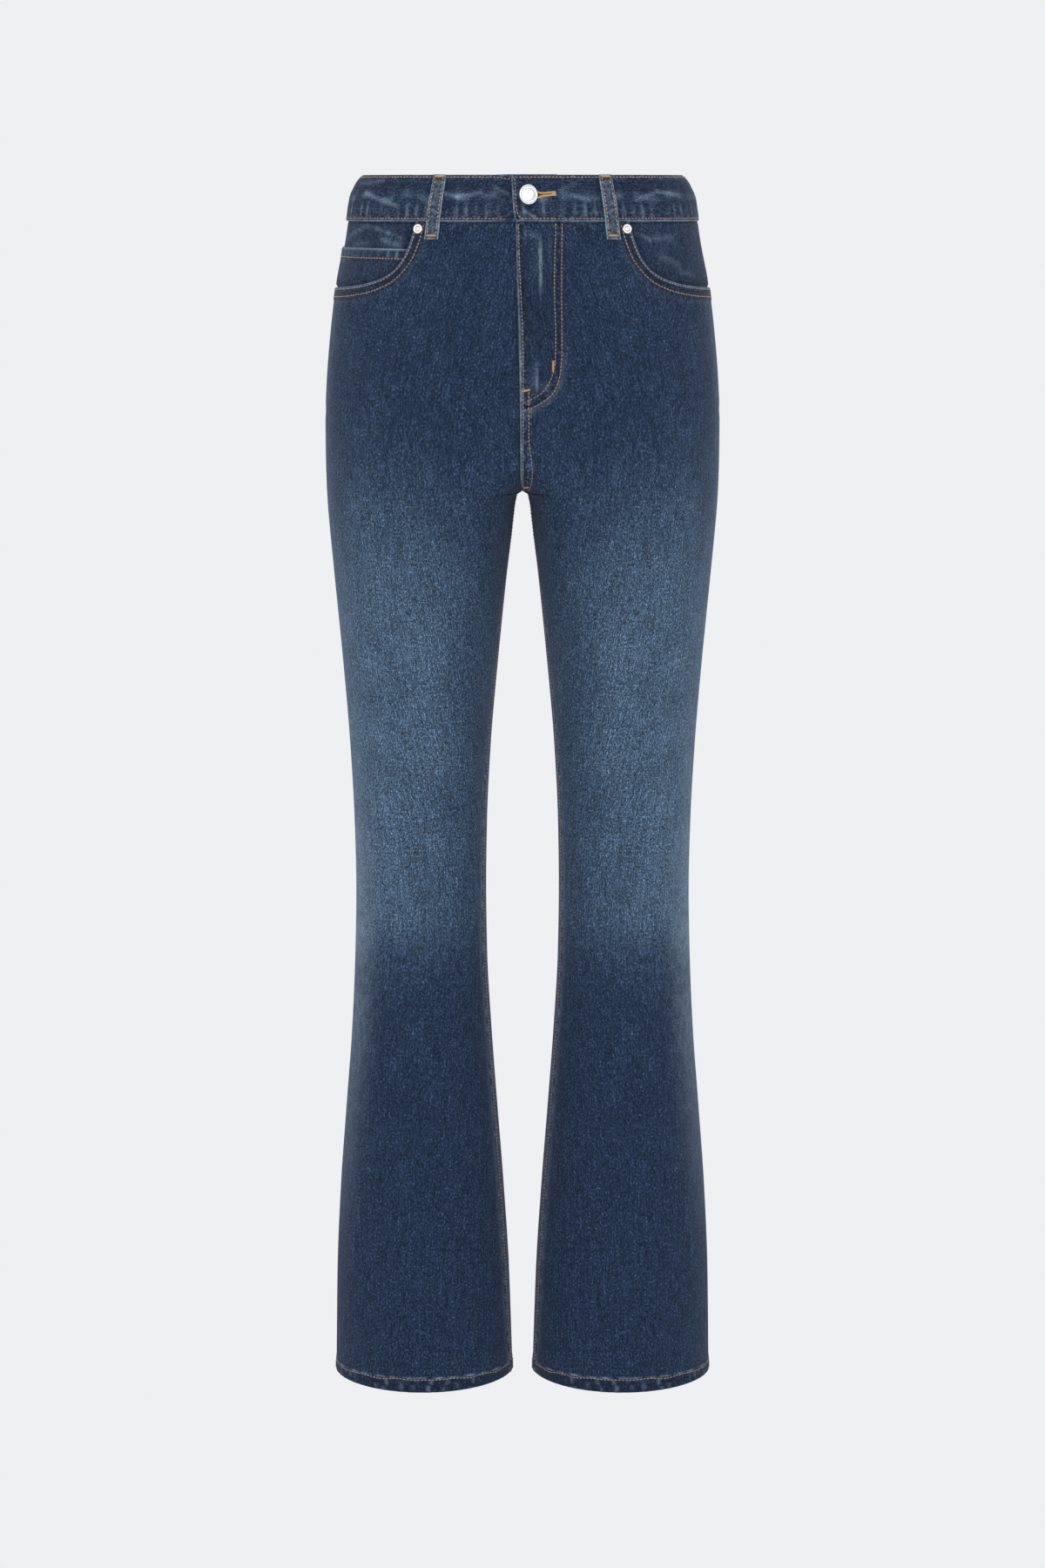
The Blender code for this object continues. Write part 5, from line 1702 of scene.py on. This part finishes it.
half_across = spaced((0, 3, 1.0), (3, 5.6, 0.5), (5.6, LOOP_WIDTH / 2, 0.2))
loop_across = np.concatenate([-half_across[:0:-1], half_across])
loop_drop = spaced(
    (LOOP_TOP, LOOP_TOP + 1, 0.25), (LOOP_TOP + 1, LOOP_FOOT - 1, 1.3), (LOOP_FOOT - 1, LOOP_FOOT, 0.25)
)[:, None]
loop_reach = float(half_length(True, WAISTBAND))


def loop_place(at, drop):
    """s of a loop's middle line at each drop."""
    return front_loop_middle(drop) if at is None else np.full(len(drop), at)


for label, at, side in LOOPS:
    s = loop_place(at, loop_drop[:, 0])[:, None] + loop_across / loop_reach
    drop = loop_drop + 0 * s
    shaped = loop_marks(loop_across + 0 * s, drop)
    uv = np.stack([loop_across + 0 * s, -drop], -1) * MM
    base = loop_base(drop)
    inner = np.minimum(base - LOOP_CLOTH + 0.1, base + shaped[LIFT] - 0.25)
    loop = wall(
        f"denim_belt_loop_{label}", np.where(s > 2, s - 4, s), drop, shaped, inner, side,
        (trim_denim, trim_denim), uv=uv, base=base, paleness=0.2
    )
    dress(loop, f"belt_loop_{label}")

# %% [markdown]
# ## Sewing thread
# A row of stitches is thread lying in short ovals, one for every 3 mm or so, with its ends pulled down into
# the cloth. Painted dashes would stay flat, so each stitch is a small tube of its own: a line of five
# points over the cloth, and round each point a ring of six. All the stitches of a row are worked out in one
# array. The thread is a waxed mustard yellow, paler and greyer where the wash has rubbed it.

# %% Thread material
def thread_finish(name, fresh, worn):
    """Two plies twisted together: a slanted wave on the thread's own map, with painted shade in the grooves
    between the plies. Tone changes from stitch to stitch."""
    made, tree, shader = new_material(name)
    place = add_node(tree, "ShaderNodeUVMap", uv_map="cloth").outputs[0]
    twist = add_node(tree, "ShaderNodeTexWave", wave_type="BANDS", bands_direction="DIAGONAL")
    wire(place, twist.inputs["Vector"])
    dial(twist, Scale=420.0, Distortion=0.6)
    dust = cloudy(place, 2.2, 2.2, 2.0)
    amount = plus(painted(tree, "tone"), swing(dust, 0.8), clamp=True)
    colour = blend_colours(amount, (*fresh, 1), (*worn, 1))
    # painted shade in the grooves between the plies, where the twist's bump is low
    colour = blend_colours(
        times(minus(1.0, twist.outputs["Fac"]), 0.3), colour, (0.05, 0.028, 0.012, 1)
    )
    hole = times(painted(tree, "shade"), 0.92)
    wire(blend_colours(hole, colour, (0.008, 0.006, 0.008, 1)), shader.inputs["Base Color"])
    emboss(times(twist.outputs["Fac"], 0.00006), shader)
    dial(shader, Roughness=0.6, Specular_IOR_Level=0.35, Sheen_Weight=0.1)
    return made


mustard = thread_finish("mustard_thread", (0.62, 0.33, 0.11), (0.44, 0.32, 0.22))
rust = thread_finish("rust_thread", (0.50, 0.27, 0.14), (0.36, 0.27, 0.24))
grey = thread_finish("worn_thread", (0.50, 0.36, 0.22), (0.38, 0.35, 0.33))

# %% Stitches as tubes
SIDES = 6
BAR_PITCH = 0.42
stitch_rings = np.array([
    [0.0, -0.16, 0.30], [0.16, 0.16, 0.36], [0.5, 0.36, 0.40], [0.84, 0.16, 0.36], [1.0, -0.16, 0.30]
])
STITCH_POINTS = len(stitch_rings) * SIDES
stitch_shade = np.array([1.0, 0.25, 0.0, 0.25, 1.0])  # dark where the thread enters its hole


class Thread:
    """Collects the stitches of one object: where each starts and ends on the cloth, and its surface."""

    def __init__(self, name, finish):
        self.name, self.finish, self.stitches = name, finish, []

    def between(self, start, end, surface, side=1, width=1.0, height=1.0, tone=0.5, seed=0, shade=1.0):
        """One stitch from each start to each end, both (s, drop). surface gives the offset of the cloth
        there."""
        start, end = np.asarray(start, float), np.asarray(end, float)
        share, up, radius = stitch_rings.T
        chance = np.random.default_rng(seed + 7)
        size = 1 + 0.1 * chance.standard_normal(len(start))[:, None]
        place = start[:, None] + (end - start)[:, None] * share[:, None]
        s, drop = place[..., 0], place[..., 1]
        points, normal = cloth_frame(s, drop)
        lift = surface(s, drop) + up * height * size
        centre = points + normal * lift[..., None]
        beside = unit(np.cross(unit(np.gradient(centre, axis=1)), normal))
        turn = np.linspace(0, 2 * math.pi, SIDES, endpoint=False)
        r = (radius * width * size)[..., None, None]
        ring = centre[..., None, :] + r * (
            np.cos(turn)[:, None] * beside[..., None, :]
            + 0.85 * np.sin(turn)[:, None] * normal[..., None, :]
        )
        ring[..., 0] *= side
        if side < 0:
            ring = ring[:, :, ::-1]
        length = np.linalg.norm(centre[:, -1] - centre[:, 0], axis=-1)[:, None, None]
        u = (np.arange(len(start)) * 0.0137)[:, None, None] + share[:, None] * length * MM + 0 * turn
        v = turn * 0.38 * MM + 0 * u
        tones = np.clip(tone + 0.28 * chance.standard_normal(len(start)), 0, 1)
        self.stitches.append((
            ring.reshape(-1, 3), np.stack([u, v], -1).reshape(-1, 2), np.repeat(tones, STITCH_POINTS),
            np.tile(np.repeat(stitch_shade * shade, SIDES), len(start))
        ))

    def row(self, line, surface, side=1, pitch=3.15, fill=0.8, **kind):
        """A row of stitches along a line of (s, drop): walked in small steps, then cut at every pitch."""
        line = np.asarray(line, float)
        part = np.linspace(0, len(line) - 1, max(400, 12 * len(line)))
        fine = np.stack([np.interp(part, np.arange(len(line)), line[:, k]) for k in (0, 1)], 1)
        length = run_along(cloth(fine[:, 0], fine[:, 1]))
        count = max(1, int(length[-1] / pitch))
        start = (np.arange(count) + 0.1) * length[-1] / count
        end = start + fill * length[-1] / count
        at = lambda where: np.stack([np.interp(where, length, fine[:, k]) for k in (0, 1)], 1)
        self.between(at(start), at(end), surface, side, **kind)

    def bar(self, start, end, half_width, surface, side=1, **kind):
        """A bar of dense stitches that lie across the line from start to end, both (s, drop)."""
        start, end = np.asarray(start, float), np.asarray(end, float)
        scale = np.array([float(half_length(start[0] <= 1, start[1])), 1.0])
        way = (end - start) * scale
        length = np.linalg.norm(way)
        across = np.array([-way[1], way[0]]) / length / scale * half_width
        count = max(2, round(length / BAR_PITCH))
        middle = start + (end - start) * np.linspace(0, 1, count)[:, None]
        jitter = 1 + 0.12 * np.random.default_rng(5).standard_normal((count, 1))
        kind = {"width": 0.62, "height": 1.15, "tone": 0.12, "shade": 0.5, **kind}
        self.between(middle - across * jitter, middle + across * jitter, surface, side, **kind)

    def finish_piece(self):
        """Joins all the rings: four bands of six faces for a stitch, and a cap at each end."""
        points, uv, tone, shade = (np.concatenate(part) for part in zip(*self.stitches))
        base = np.arange(0, len(points), STITCH_POINTS)[:, None, None]
        ring, k = np.arange(0, STITCH_POINTS - SIDES, SIDES)[:, None], np.arange(SIDES)
        a, b = base + ring + k, base + ring + (k + 1) % SIDES
        bands = np.stack([a, b, b + SIDES, a + SIDES], -1).reshape(-1, 4)
        first = base[:, 0] + k[::-1]
        last = base[:, 0] + STITCH_POINTS - SIDES + k
        made = mesh_piece(
            self.name, points, [bands[:, ::-1], first[:, ::-1], last[:, ::-1]], (self.finish,), uv=uv,
            layers={"tone": tone, "shade": shade}
        )
        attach(made, "root")
        print(
            f"{self.name}: {len(base)} stitches, {2 * len(bands) + 2 * (SIDES - 2) * len(base)} triangles"
        )


# %% The surfaces that rows lie on
def on_front(side):
    """A front's outer face: the lift of its marks. The next ones are the same for the other pieces."""
    return lambda s, drop: front_marks(s, drop, side)[LIFT]


def on_back(side):
    return lambda s, drop: back_marks(s, drop, side)[LIFT]


def on_yoke(side):
    return lambda s, drop: yoke_marks(s, drop, side)[LIFT]


def on_band(s, drop):
    """The band's outer face, away from its pressed-in end."""
    on_tab = (s < 0) & (s * half_length(True, drop) > -read(TAB_EDGE, drop)[0])
    along = along_band(s, drop) - WAIST_ROUND * on_tab
    return BAND_OUT + band_marks(along, drop)[LIFT] - band_press(along)


def on_back_pocket(s, drop):
    return POCKET_OUT + back_pocket_marks(s, drop)[LIFT]


def offset_line(line, distance):
    """A line moved sideways, to its right as it runs, by a distance: each point along the mean normal
    there."""
    line = np.asarray(line, float)
    way = unit(np.gradient(line, axis=0))
    return line + np.stack([-way[:, 1], way[:, 0]], 1) * distance


def inset(line, distance):
    """A line of straight runs moved in by a distance, with its corners kept: each point moves by the sum of
    its two runs' normals over one plus their product."""
    line = np.asarray(line, float)
    way = unit(np.diff(line, axis=0))
    inward = np.stack([way[:, 1], -way[:, 0]], 1)
    before, after = np.concatenate([inward[:1], inward]), np.concatenate([inward, inward[-1:]])
    return line + distance * (before + after) / (1 + (before * after).sum(1, keepdims=True))


def to_s(line, ahead=True):
    """A line of (mm from the outseam, drop) as (s, drop)."""
    line = np.asarray(line, float)
    reach = half_length(ahead, line[:, 1])
    return np.stack([1 - line[:, 0] / reach if ahead else 1 + line[:, 0] / reach, line[:, 1]], 1)


def at_x(points):
    """A line of (x, drop) on the front as (s, drop)."""
    points = np.asarray(points, float)
    return np.stack([s_at_x(points[:, 0], points[:, 1]), points[:, 1]], 1)


def smoothed(points):
    """60 points on a smooth curve through the given ones, spaced by their distance."""
    points = np.asarray(points, float)
    run = run_along(points)
    x, y = read(np.column_stack([run, points]), np.linspace(0, run[-1], 60))
    return np.stack([x, y], 1)


print("a row 8.6 mm inside the mouth starts at", to_s(offset_line(MOUTH_LINE, 8.6))[0].round(3))

# %% Sewing the fronts
front_thread = Thread("thread_front_seams", mustard)
worn_rows = Thread("thread_front_worn_rows", grey)
rust_rows = Thread("thread_front_dark_rows", rust)
# the side of the mouth's line on which the front lies: the one where drop grows
MOUTH_SIDE = 1 if offset_line(MOUTH_LINE, 5.0)[20, 1] > MOUTH_LINE[20, 1] else -1
for side in (1, -1):
    for distance, thread, tone in zip(MOUTH_ROWS, (worn_rows, front_thread), (0.6, 0.3)):
        line = to_s(offset_line(MOUTH_LINE, MOUTH_SIDE * distance))
        line = line[(line[:, 1] > WAISTBAND + 1) & (line[:, 0] < 0.995)]
        thread.row(line, on_front(side), side, tone=tone, seed=3)
    levels = np.linspace(CROTCH + 2, LENGTH - HEM - 1, 120)
    inseam = np.stack([INSEAM_ROW / half_length(True, levels), levels], 1)
    rust_rows.row(inseam, on_front(side), side, tone=0.6, seed=5)
fly = on_front(1)
rust_rows.row(at_x(smoothed(J_OUTER)), fly, tone=0.25, seed=9)
rust_rows.row(at_x(smoothed(J_INNER)), fly, tone=0.25, seed=10)
levels = np.linspace(WAISTBAND + 1.5, CROTCH - 3, 60)
flap_row = np.stack([FLAP_ROW - read(FRONT_EDGE, levels)[0], levels], 1)
rust_rows.row(at_x(flap_row), fly, tone=0.7, seed=11)
rust_rows.row(at_x([(FORK_ROW, 187), (FORK_ROW, 230), (5.0, CROTCH - 3)]), fly, tone=0.5, seed=12)
front_thread.bar(*at_x([(26.9, 160.4), (26.6, 169.5)]), 1.0, fly)
front_thread.bar(*at_x([(-0.6, 186.8), (6.4, 185.4)]), 1.0, fly)
front_thread.bar(*at_x([(1.0, CROTCH - 6), (5.5, CROTCH - 6.5)]), 0.9, fly, tone=0.5)
for thread in (front_thread, worn_rows, rust_rows):
    thread.finish_piece()

# %% Sewing the waistband
band_thread = Thread("thread_waistband", mustard)
band_low = Thread("thread_waistband_lower", rust)
tab_s = -(TAB_EDGE[0][1] - 3.0) / float(half_length(True, TOP_ROW))
circuit = np.concatenate([np.linspace(tab_s, 2, 240), np.linspace(-1.999, -0.05, 230)])
lower_circuit = np.concatenate([np.linspace(-0.006, 2, 240), np.linspace(-1.999, -0.065, 230)])


def round_the_band(thread, places, level, **kind):
    """A row round the band, sewn in two halves because s changes sign at the centre back."""
    for half_way in (places[: len(places) // 2 + 5], places[len(places) // 2 + 5 :]):
        thread.row(np.stack([half_way, np.full(len(half_way), level)], 1), on_band, **kind)


round_the_band(band_thread, circuit, TOP_ROW, tone=0.35, seed=21)
round_the_band(band_low, lower_circuit, WAISTBAND - LOW_ROW, tone=0.4, seed=22)
tab_row = np.array([(-6.4, 3.5), (-5.2, 28), (-3.6, 35), (-1.6, 37.6)])
band_low.row(
    np.stack([tab_row[:, 0] / half_length(True, tab_row[:, 1]), tab_row[:, 1]], 1), on_band, tone=0.5,
    seed=23
)

# purl stitches over the lips of the buttonhole, then the bar at its end
for sign in (1, -1):
    along = np.linspace(6.0, 23.6, 46)
    lip = np.interp(along, *np.array(HOLE_EDGE, float).T)
    middle = BUTTON_DROP - HOLE_SLOPE * (along - 6)
    inner_edge = np.stack([BUTTON_X + along, middle + sign * np.maximum(lip - 0.2, 0.05)], 1)
    outer_edge = np.stack([BUTTON_X + along + 0.15, middle + sign * (lip + 1.8)], 1)
    band_thread.between(
        at_x(inner_edge), at_x(outer_edge), on_band, width=0.9, height=1.9, tone=0.05, seed=31 + sign,
        shade=0.4
    )
band_thread.bar(
    *at_x([(BUTTON_X + 23.2, BUTTON_DROP - 3.4), (BUTTON_X + 23.4, BUTTON_DROP + 0.2)]), 2.0, on_band,
    width=0.9, height=2.1, tone=0.05, seed=33
)
for thread in (band_thread, band_low):
    thread.finish_piece()

# %% Sewing the back
back_thread = Thread("thread_back_seams", mustard)
for side in (1, -1):
    yoke_line = np.stack([np.linspace(1.005, 1.996, 60)] * 2, 1)
    for distance in DOUBLE_ROW:
        line = yoke_line.copy()
        line[:, 1] = yoke_seam(line[:, 0]) - distance * 1.02
        back_thread.row(line, on_yoke(side), side, tone=0.35, seed=41)
        corners = inset(POCKET_LINE, distance)
        for a, b in zip(corners[:-1], corners[1:]):
            back_thread.row(to_s([a, b], ahead=False), on_back_pocket, side, tone=0.35, seed=42)
    top = BACK_POCKET["top"]
    for row in POCKET_TOP_ROWS:
        ends = [(POCKET_LINE[0][0] + 2.2, top + row), (POCKET_LINE[-1][0] - 2.2, top + row)]
        back_thread.row(to_s(ends, ahead=False), on_back_pocket, side, tone=0.35, seed=43)
    for corner, way in ((POCKET_LINE[0], 1), (POCKET_LINE[-1], -1)):
        a = (corner[0] + way * 1.6, top + 0.8)
        b = (corner[0] + way * 2.0, top + 9.0)
        back_thread.bar(*to_s([a, b], ahead=False), 0.9, on_back_pocket, side)
for distance in DOUBLE_ROW:
    for low, high, surface in (
        (WAISTBAND + 1, yoke_seam(2.0) - 2, on_yoke(1)), (yoke_seam(2.0) + 1.5, CROTCH - 3, on_back(1))
    ):
        levels = np.linspace(low, high, 60)
        back_thread.row(
            np.stack([2 - distance / half_length(False, levels), levels], 1), surface, tone=0.35, seed=44
        )
back_thread.finish_piece()

# %% Sewing the hems, the coin pocket and the loops
hem_thread = Thread("thread_hems", mustard)
for side in (1, -1):
    for ahead in (True, False):
        s = np.linspace(0.012, 0.992, 90) if ahead else np.linspace(1.008, 1.988, 90)
        level = (
            LENGTH - HEM_LIFT * sideways(s, LENGTH) - hem_stitch_height(s, np.full_like(s, LENGTH))
            + 0.8 * wavering(s * 230, 32, 71)
        )
        hem_thread.row(
            np.stack([s, level], 1), on_front(side) if ahead else on_back(side), side, pitch=3.3, width=0.8,
            tone=0.75, seed=45
        )
hem_thread.finish_piece()

trim_thread = Thread("thread_coin_pocket_and_loops", mustard)
s = np.linspace(0.452, 0.994, 60)
coin_level = coin_top(s) + COIN_ROW
shown = in_the_mouth(s, coin_level) > -1.0
trim_thread.row(
    np.stack([s, coin_level], 1)[shown], lambda s, drop: coin_base(s, drop) + coin_marks(s, drop)[LIFT], -1,
    tone=0.2, seed=51
)
for _, at, side in LOOPS:
    levels = np.linspace(LOOP_TOP + 2.2, LOOP_FOOT - 4.4, 24)
    middle = loop_place(at, levels)

    def on_loop(s, drop):
        """The loop's outer face. Its own middle line is found again at each drop."""
        flat_drop = np.linspace(LOOP_TOP, LOOP_FOOT, 40)
        middle_s = np.interp(drop, flat_drop, loop_place(at, flat_drop))
        return loop_base(drop) + loop_marks((s - middle_s) * loop_reach, drop)[LIFT]

    for way in (-1, 1):
        s = middle + way * (LOOP_WIDTH / 2 - LOOP_ROW) / loop_reach
        trim_thread.row(np.stack([s, levels], 1), on_loop, side, tone=0.4, seed=52 + way)
    for level in (LOOP_TOP + 1.7, LOOP_FOOT - 3.2):
        middle = float(loop_place(at, np.array([level]))[0])
        reach = 4.3 / loop_reach
        trim_thread.bar((middle - reach, level), (middle + reach, level), 1.0, on_loop, side, tone=0.1)
trim_thread.finish_piece()

# %% [markdown]
# ## Button and rivets
# A jeans button is a pressed metal cap on a shank. Its face has a raised rim, a ring and a flat middle. The
# real one carries words on the ring, and this one has a plain row of small dashes in their place. Round
# pieces are turned, as on a lathe: a profile of radius and height is carried round an axis in many steps.

# %% Metal
def metal(name, colour, roughness):
    """Satin nickel: fine scratches change the roughness, and dark tarnish sits where the attribute dirt
    says."""
    made, tree, shader = new_material(name)
    place = add_node(tree, "ShaderNodeTexCoord").outputs["Object"]
    scratch = add_node(tree, "ShaderNodeTexNoise", noise_dimensions="3D")
    wire(stretched(place, 0.25, 1.6), scratch.inputs["Vector"])
    dial(scratch, Scale=1.0, Detail=4.0)
    stain = ramp_between(scratch.outputs[0], 0.35, 0.75)
    tarnish = times(painted(tree, "dirt"), plus(0.75, times(stain, 0.25)), clamp=True)
    wire(
        blend_colours(tarnish, (*colour, 1), (0.055, 0.055, 0.06, 1)),
        shader.inputs["Base Color"]
    )
    wire(plus(roughness, times(stain, 0.12)), shader.inputs["Roughness"])
    dial(shader, Metallic=1.0)
    emboss(times(scratch.outputs[0], 0.00002), shader)
    return made


nickel = metal("satin_nickel", (0.80, 0.81, 0.82), 0.24)
warm_nickel = metal("rivet_nickel", (0.78, 0.74, 0.68), 0.28)


# %% Turning a profile
def turned_piece(name, profile, foot, axis_of, finish, dirt_of, steps, wobble=None):
    """profile holds (radius, height, share of the lean). Each ring is foot + axis * height + radius round
    it."""
    radius, height, share = np.array(profile, float).T
    turn = np.linspace(0, 2 * math.pi, steps, endpoint=False)
    axis = np.array([axis_of(v) for v in share])
    across = unit(np.cross(axis, (0, 0, 1.0)))
    up = np.cross(axis, across)
    centre = foot(height, share)
    rise_by = np.zeros((len(radius), steps)) if wobble is None else wobble(radius[:, None], turn)
    ring = np.cos(turn)[:, None] * across[:, None] + np.sin(turn)[:, None] * up[:, None]
    points = centre[:, None] + radius[:, None, None] * ring + rise_by[..., None] * axis[:, None]
    at = np.arange(len(radius) * steps).reshape(len(radius), steps)
    after = np.roll(at, -1, axis=1)
    bands = np.stack([at[:-1], after[:-1], after[1:], at[1:]], -1).reshape(-1, 4)
    caps = np.stack([at[0][::-1], at[-1]])
    dirt = dirt_of(
        *np.broadcast_arrays(radius[:, None], turn, np.arange(len(radius))[:, None])
    )
    made = mesh_piece(
        name, points.reshape(-1, 3), [bands, caps], (finish,), uv=np.zeros((points.size // 3, 2)),
        layers={"dirt": dirt}
    )
    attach(made, "root")
    print(name, "triangles:", len(bands) * 2 + 2 * (steps - 2))
    return made


# %% The waist button
BUTTON_LEAN, BUTTON_RISE, BUTTON_RADIUS = math.radians(26), math.radians(13), 8.8
SHANK_TOP = 3.2
DASHES, DASH_RADIUS = 30, 6.35
button_s = float(s_at_x(BUTTON_X, BUTTON_DROP)[0])
button_foot = cloth(button_s, BUTTON_DROP)
button_straight = cloth(button_s, BUTTON_DROP, 1.0) - button_foot
button_lean = np.array([
    math.sin(BUTTON_LEAN) * math.cos(BUTTON_RISE), -math.cos(BUTTON_LEAN),
    math.sin(BUTTON_LEAN) * math.sin(BUTTON_RISE)
])
button_neck = button_foot + button_straight * SHANK_TOP


def button_axis(share):
    """The cap's axis: straight out from the cloth where share is 0, and along its lean where it is 1."""
    return unit(button_straight * (1 - share) + button_lean * share)


def button_place(height, share):
    """Each ring's middle: up the straight axis on the shank, and from its neck on along the leaning one."""
    low = button_foot + button_straight * height[:, None]
    high = button_neck + np.array([button_axis(v) for v in share]) * (height - SHANK_TOP)[:, None]
    return np.where((share == 0)[:, None], low, high)


def dashes(radius, turn):
    """Small dashes pressed into the ring, evenly spaced round it."""
    in_ring = np.exp(-(((radius - DASH_RADIUS) / 0.62) ** 4))
    return in_ring * (np.cos(turn * DASHES) > 0.1)


R = BUTTON_RADIUS
button_profile = [
    (2.6, -2.2, 0), (2.6, 2.2, 0), (3.0, 3.6, 0.6), (4.2, 5.0, 1), (7.4, 5.1, 1), (8.4, 5.35, 1),
    (R - 0.1, 5.7, 1), (R, 6.05, 1), (R - 0.08, 6.4, 1), (R - 0.35, 6.75, 1), (R - 0.75, 6.95, 1),
    (R - 1.1, 6.98, 1), (R - 1.4, 6.85, 1), (R - 1.6, 6.7, 1), (7.05, 6.68, 1), (6.9, 6.69, 1),
    (6.7, 6.7, 1), (6.4, 6.71, 1), (6.1, 6.72, 1), (5.85, 6.73, 1), (5.6, 6.74, 1), (5.35, 6.78, 1),
    (5.15, 6.9, 1), (4.9, 6.98, 1), (4.4, 7.02, 1), (3.4, 7.06, 1), (2.2, 7.09, 1), (1.0, 7.1, 1),
    (0.25, 7.1, 1),
]


def button_dirt(radius, turn, ring):
    """Tarnish in two grooves of the face and in the dashes, and more on the shank than under the cap."""
    front = ring > 9
    groove = bell(radius - 7.25, 0.28) + 0.8 * bell(radius - 5.4, 0.22)
    return np.clip(
        np.where(front, 0.55 * groove + 0.95 * dashes(radius, turn), np.where(ring < 4, 0.5, 0.15)), 0, 1
    )


button = turned_piece(
    "nickel_waist_button", button_profile, button_place, button_axis, nickel, button_dirt, 120,
    lambda radius, turn: -0.16 * dashes(radius, turn)
)
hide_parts("waist_button")

# %% The two rivets
RIVET_X, RIVET_DROP = 91.0, 46.9
rivet_s = float(s_at_x(RIVET_X, RIVET_DROP)[0])
rivet_profile = [
    (3.7, 0.1, 0), (4.1, 0.35, 0), (4.3, 0.75, 0), (4.26, 1.15, 0), (4.05, 1.5, 0), (3.7, 1.75, 0),
    (3.2, 1.86, 0), (2.8, 1.8, 0), (2.45, 1.62, 0), (2.2, 1.5, 0), (1.95, 1.5, 0), (1.7, 1.66, 0),
    (1.4, 1.86, 0), (1.0, 1.95, 0), (0.5, 1.98, 0), (0.15, 1.99, 0),
]


def rivet_dirt(radius, turn, ring):
    """Tarnish in the groove round the nub, and under the cap's edge."""
    return np.clip(0.75 * bell(radius - 2.1, 0.3) * (ring > 4) + 0.5 * (ring < 2), 0, 1)


for side, label in SIDES_OF_BODY:
    foot = cloth(rivet_s * side, RIVET_DROP)
    out = cloth(rivet_s * side, RIVET_DROP, 1.0) - foot

    def rivet_place(height, share):
        """Each ring's middle: straight out from the cloth."""
        return foot + out * (height * 0.95 + 0.15)[:, None]

    name = f"nickel_rivet_{label}"
    rivet = turned_piece(name, rivet_profile, rivet_place, lambda share: out, warm_nickel, rivet_dirt, 64)
    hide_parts(f"rivet_{label}")
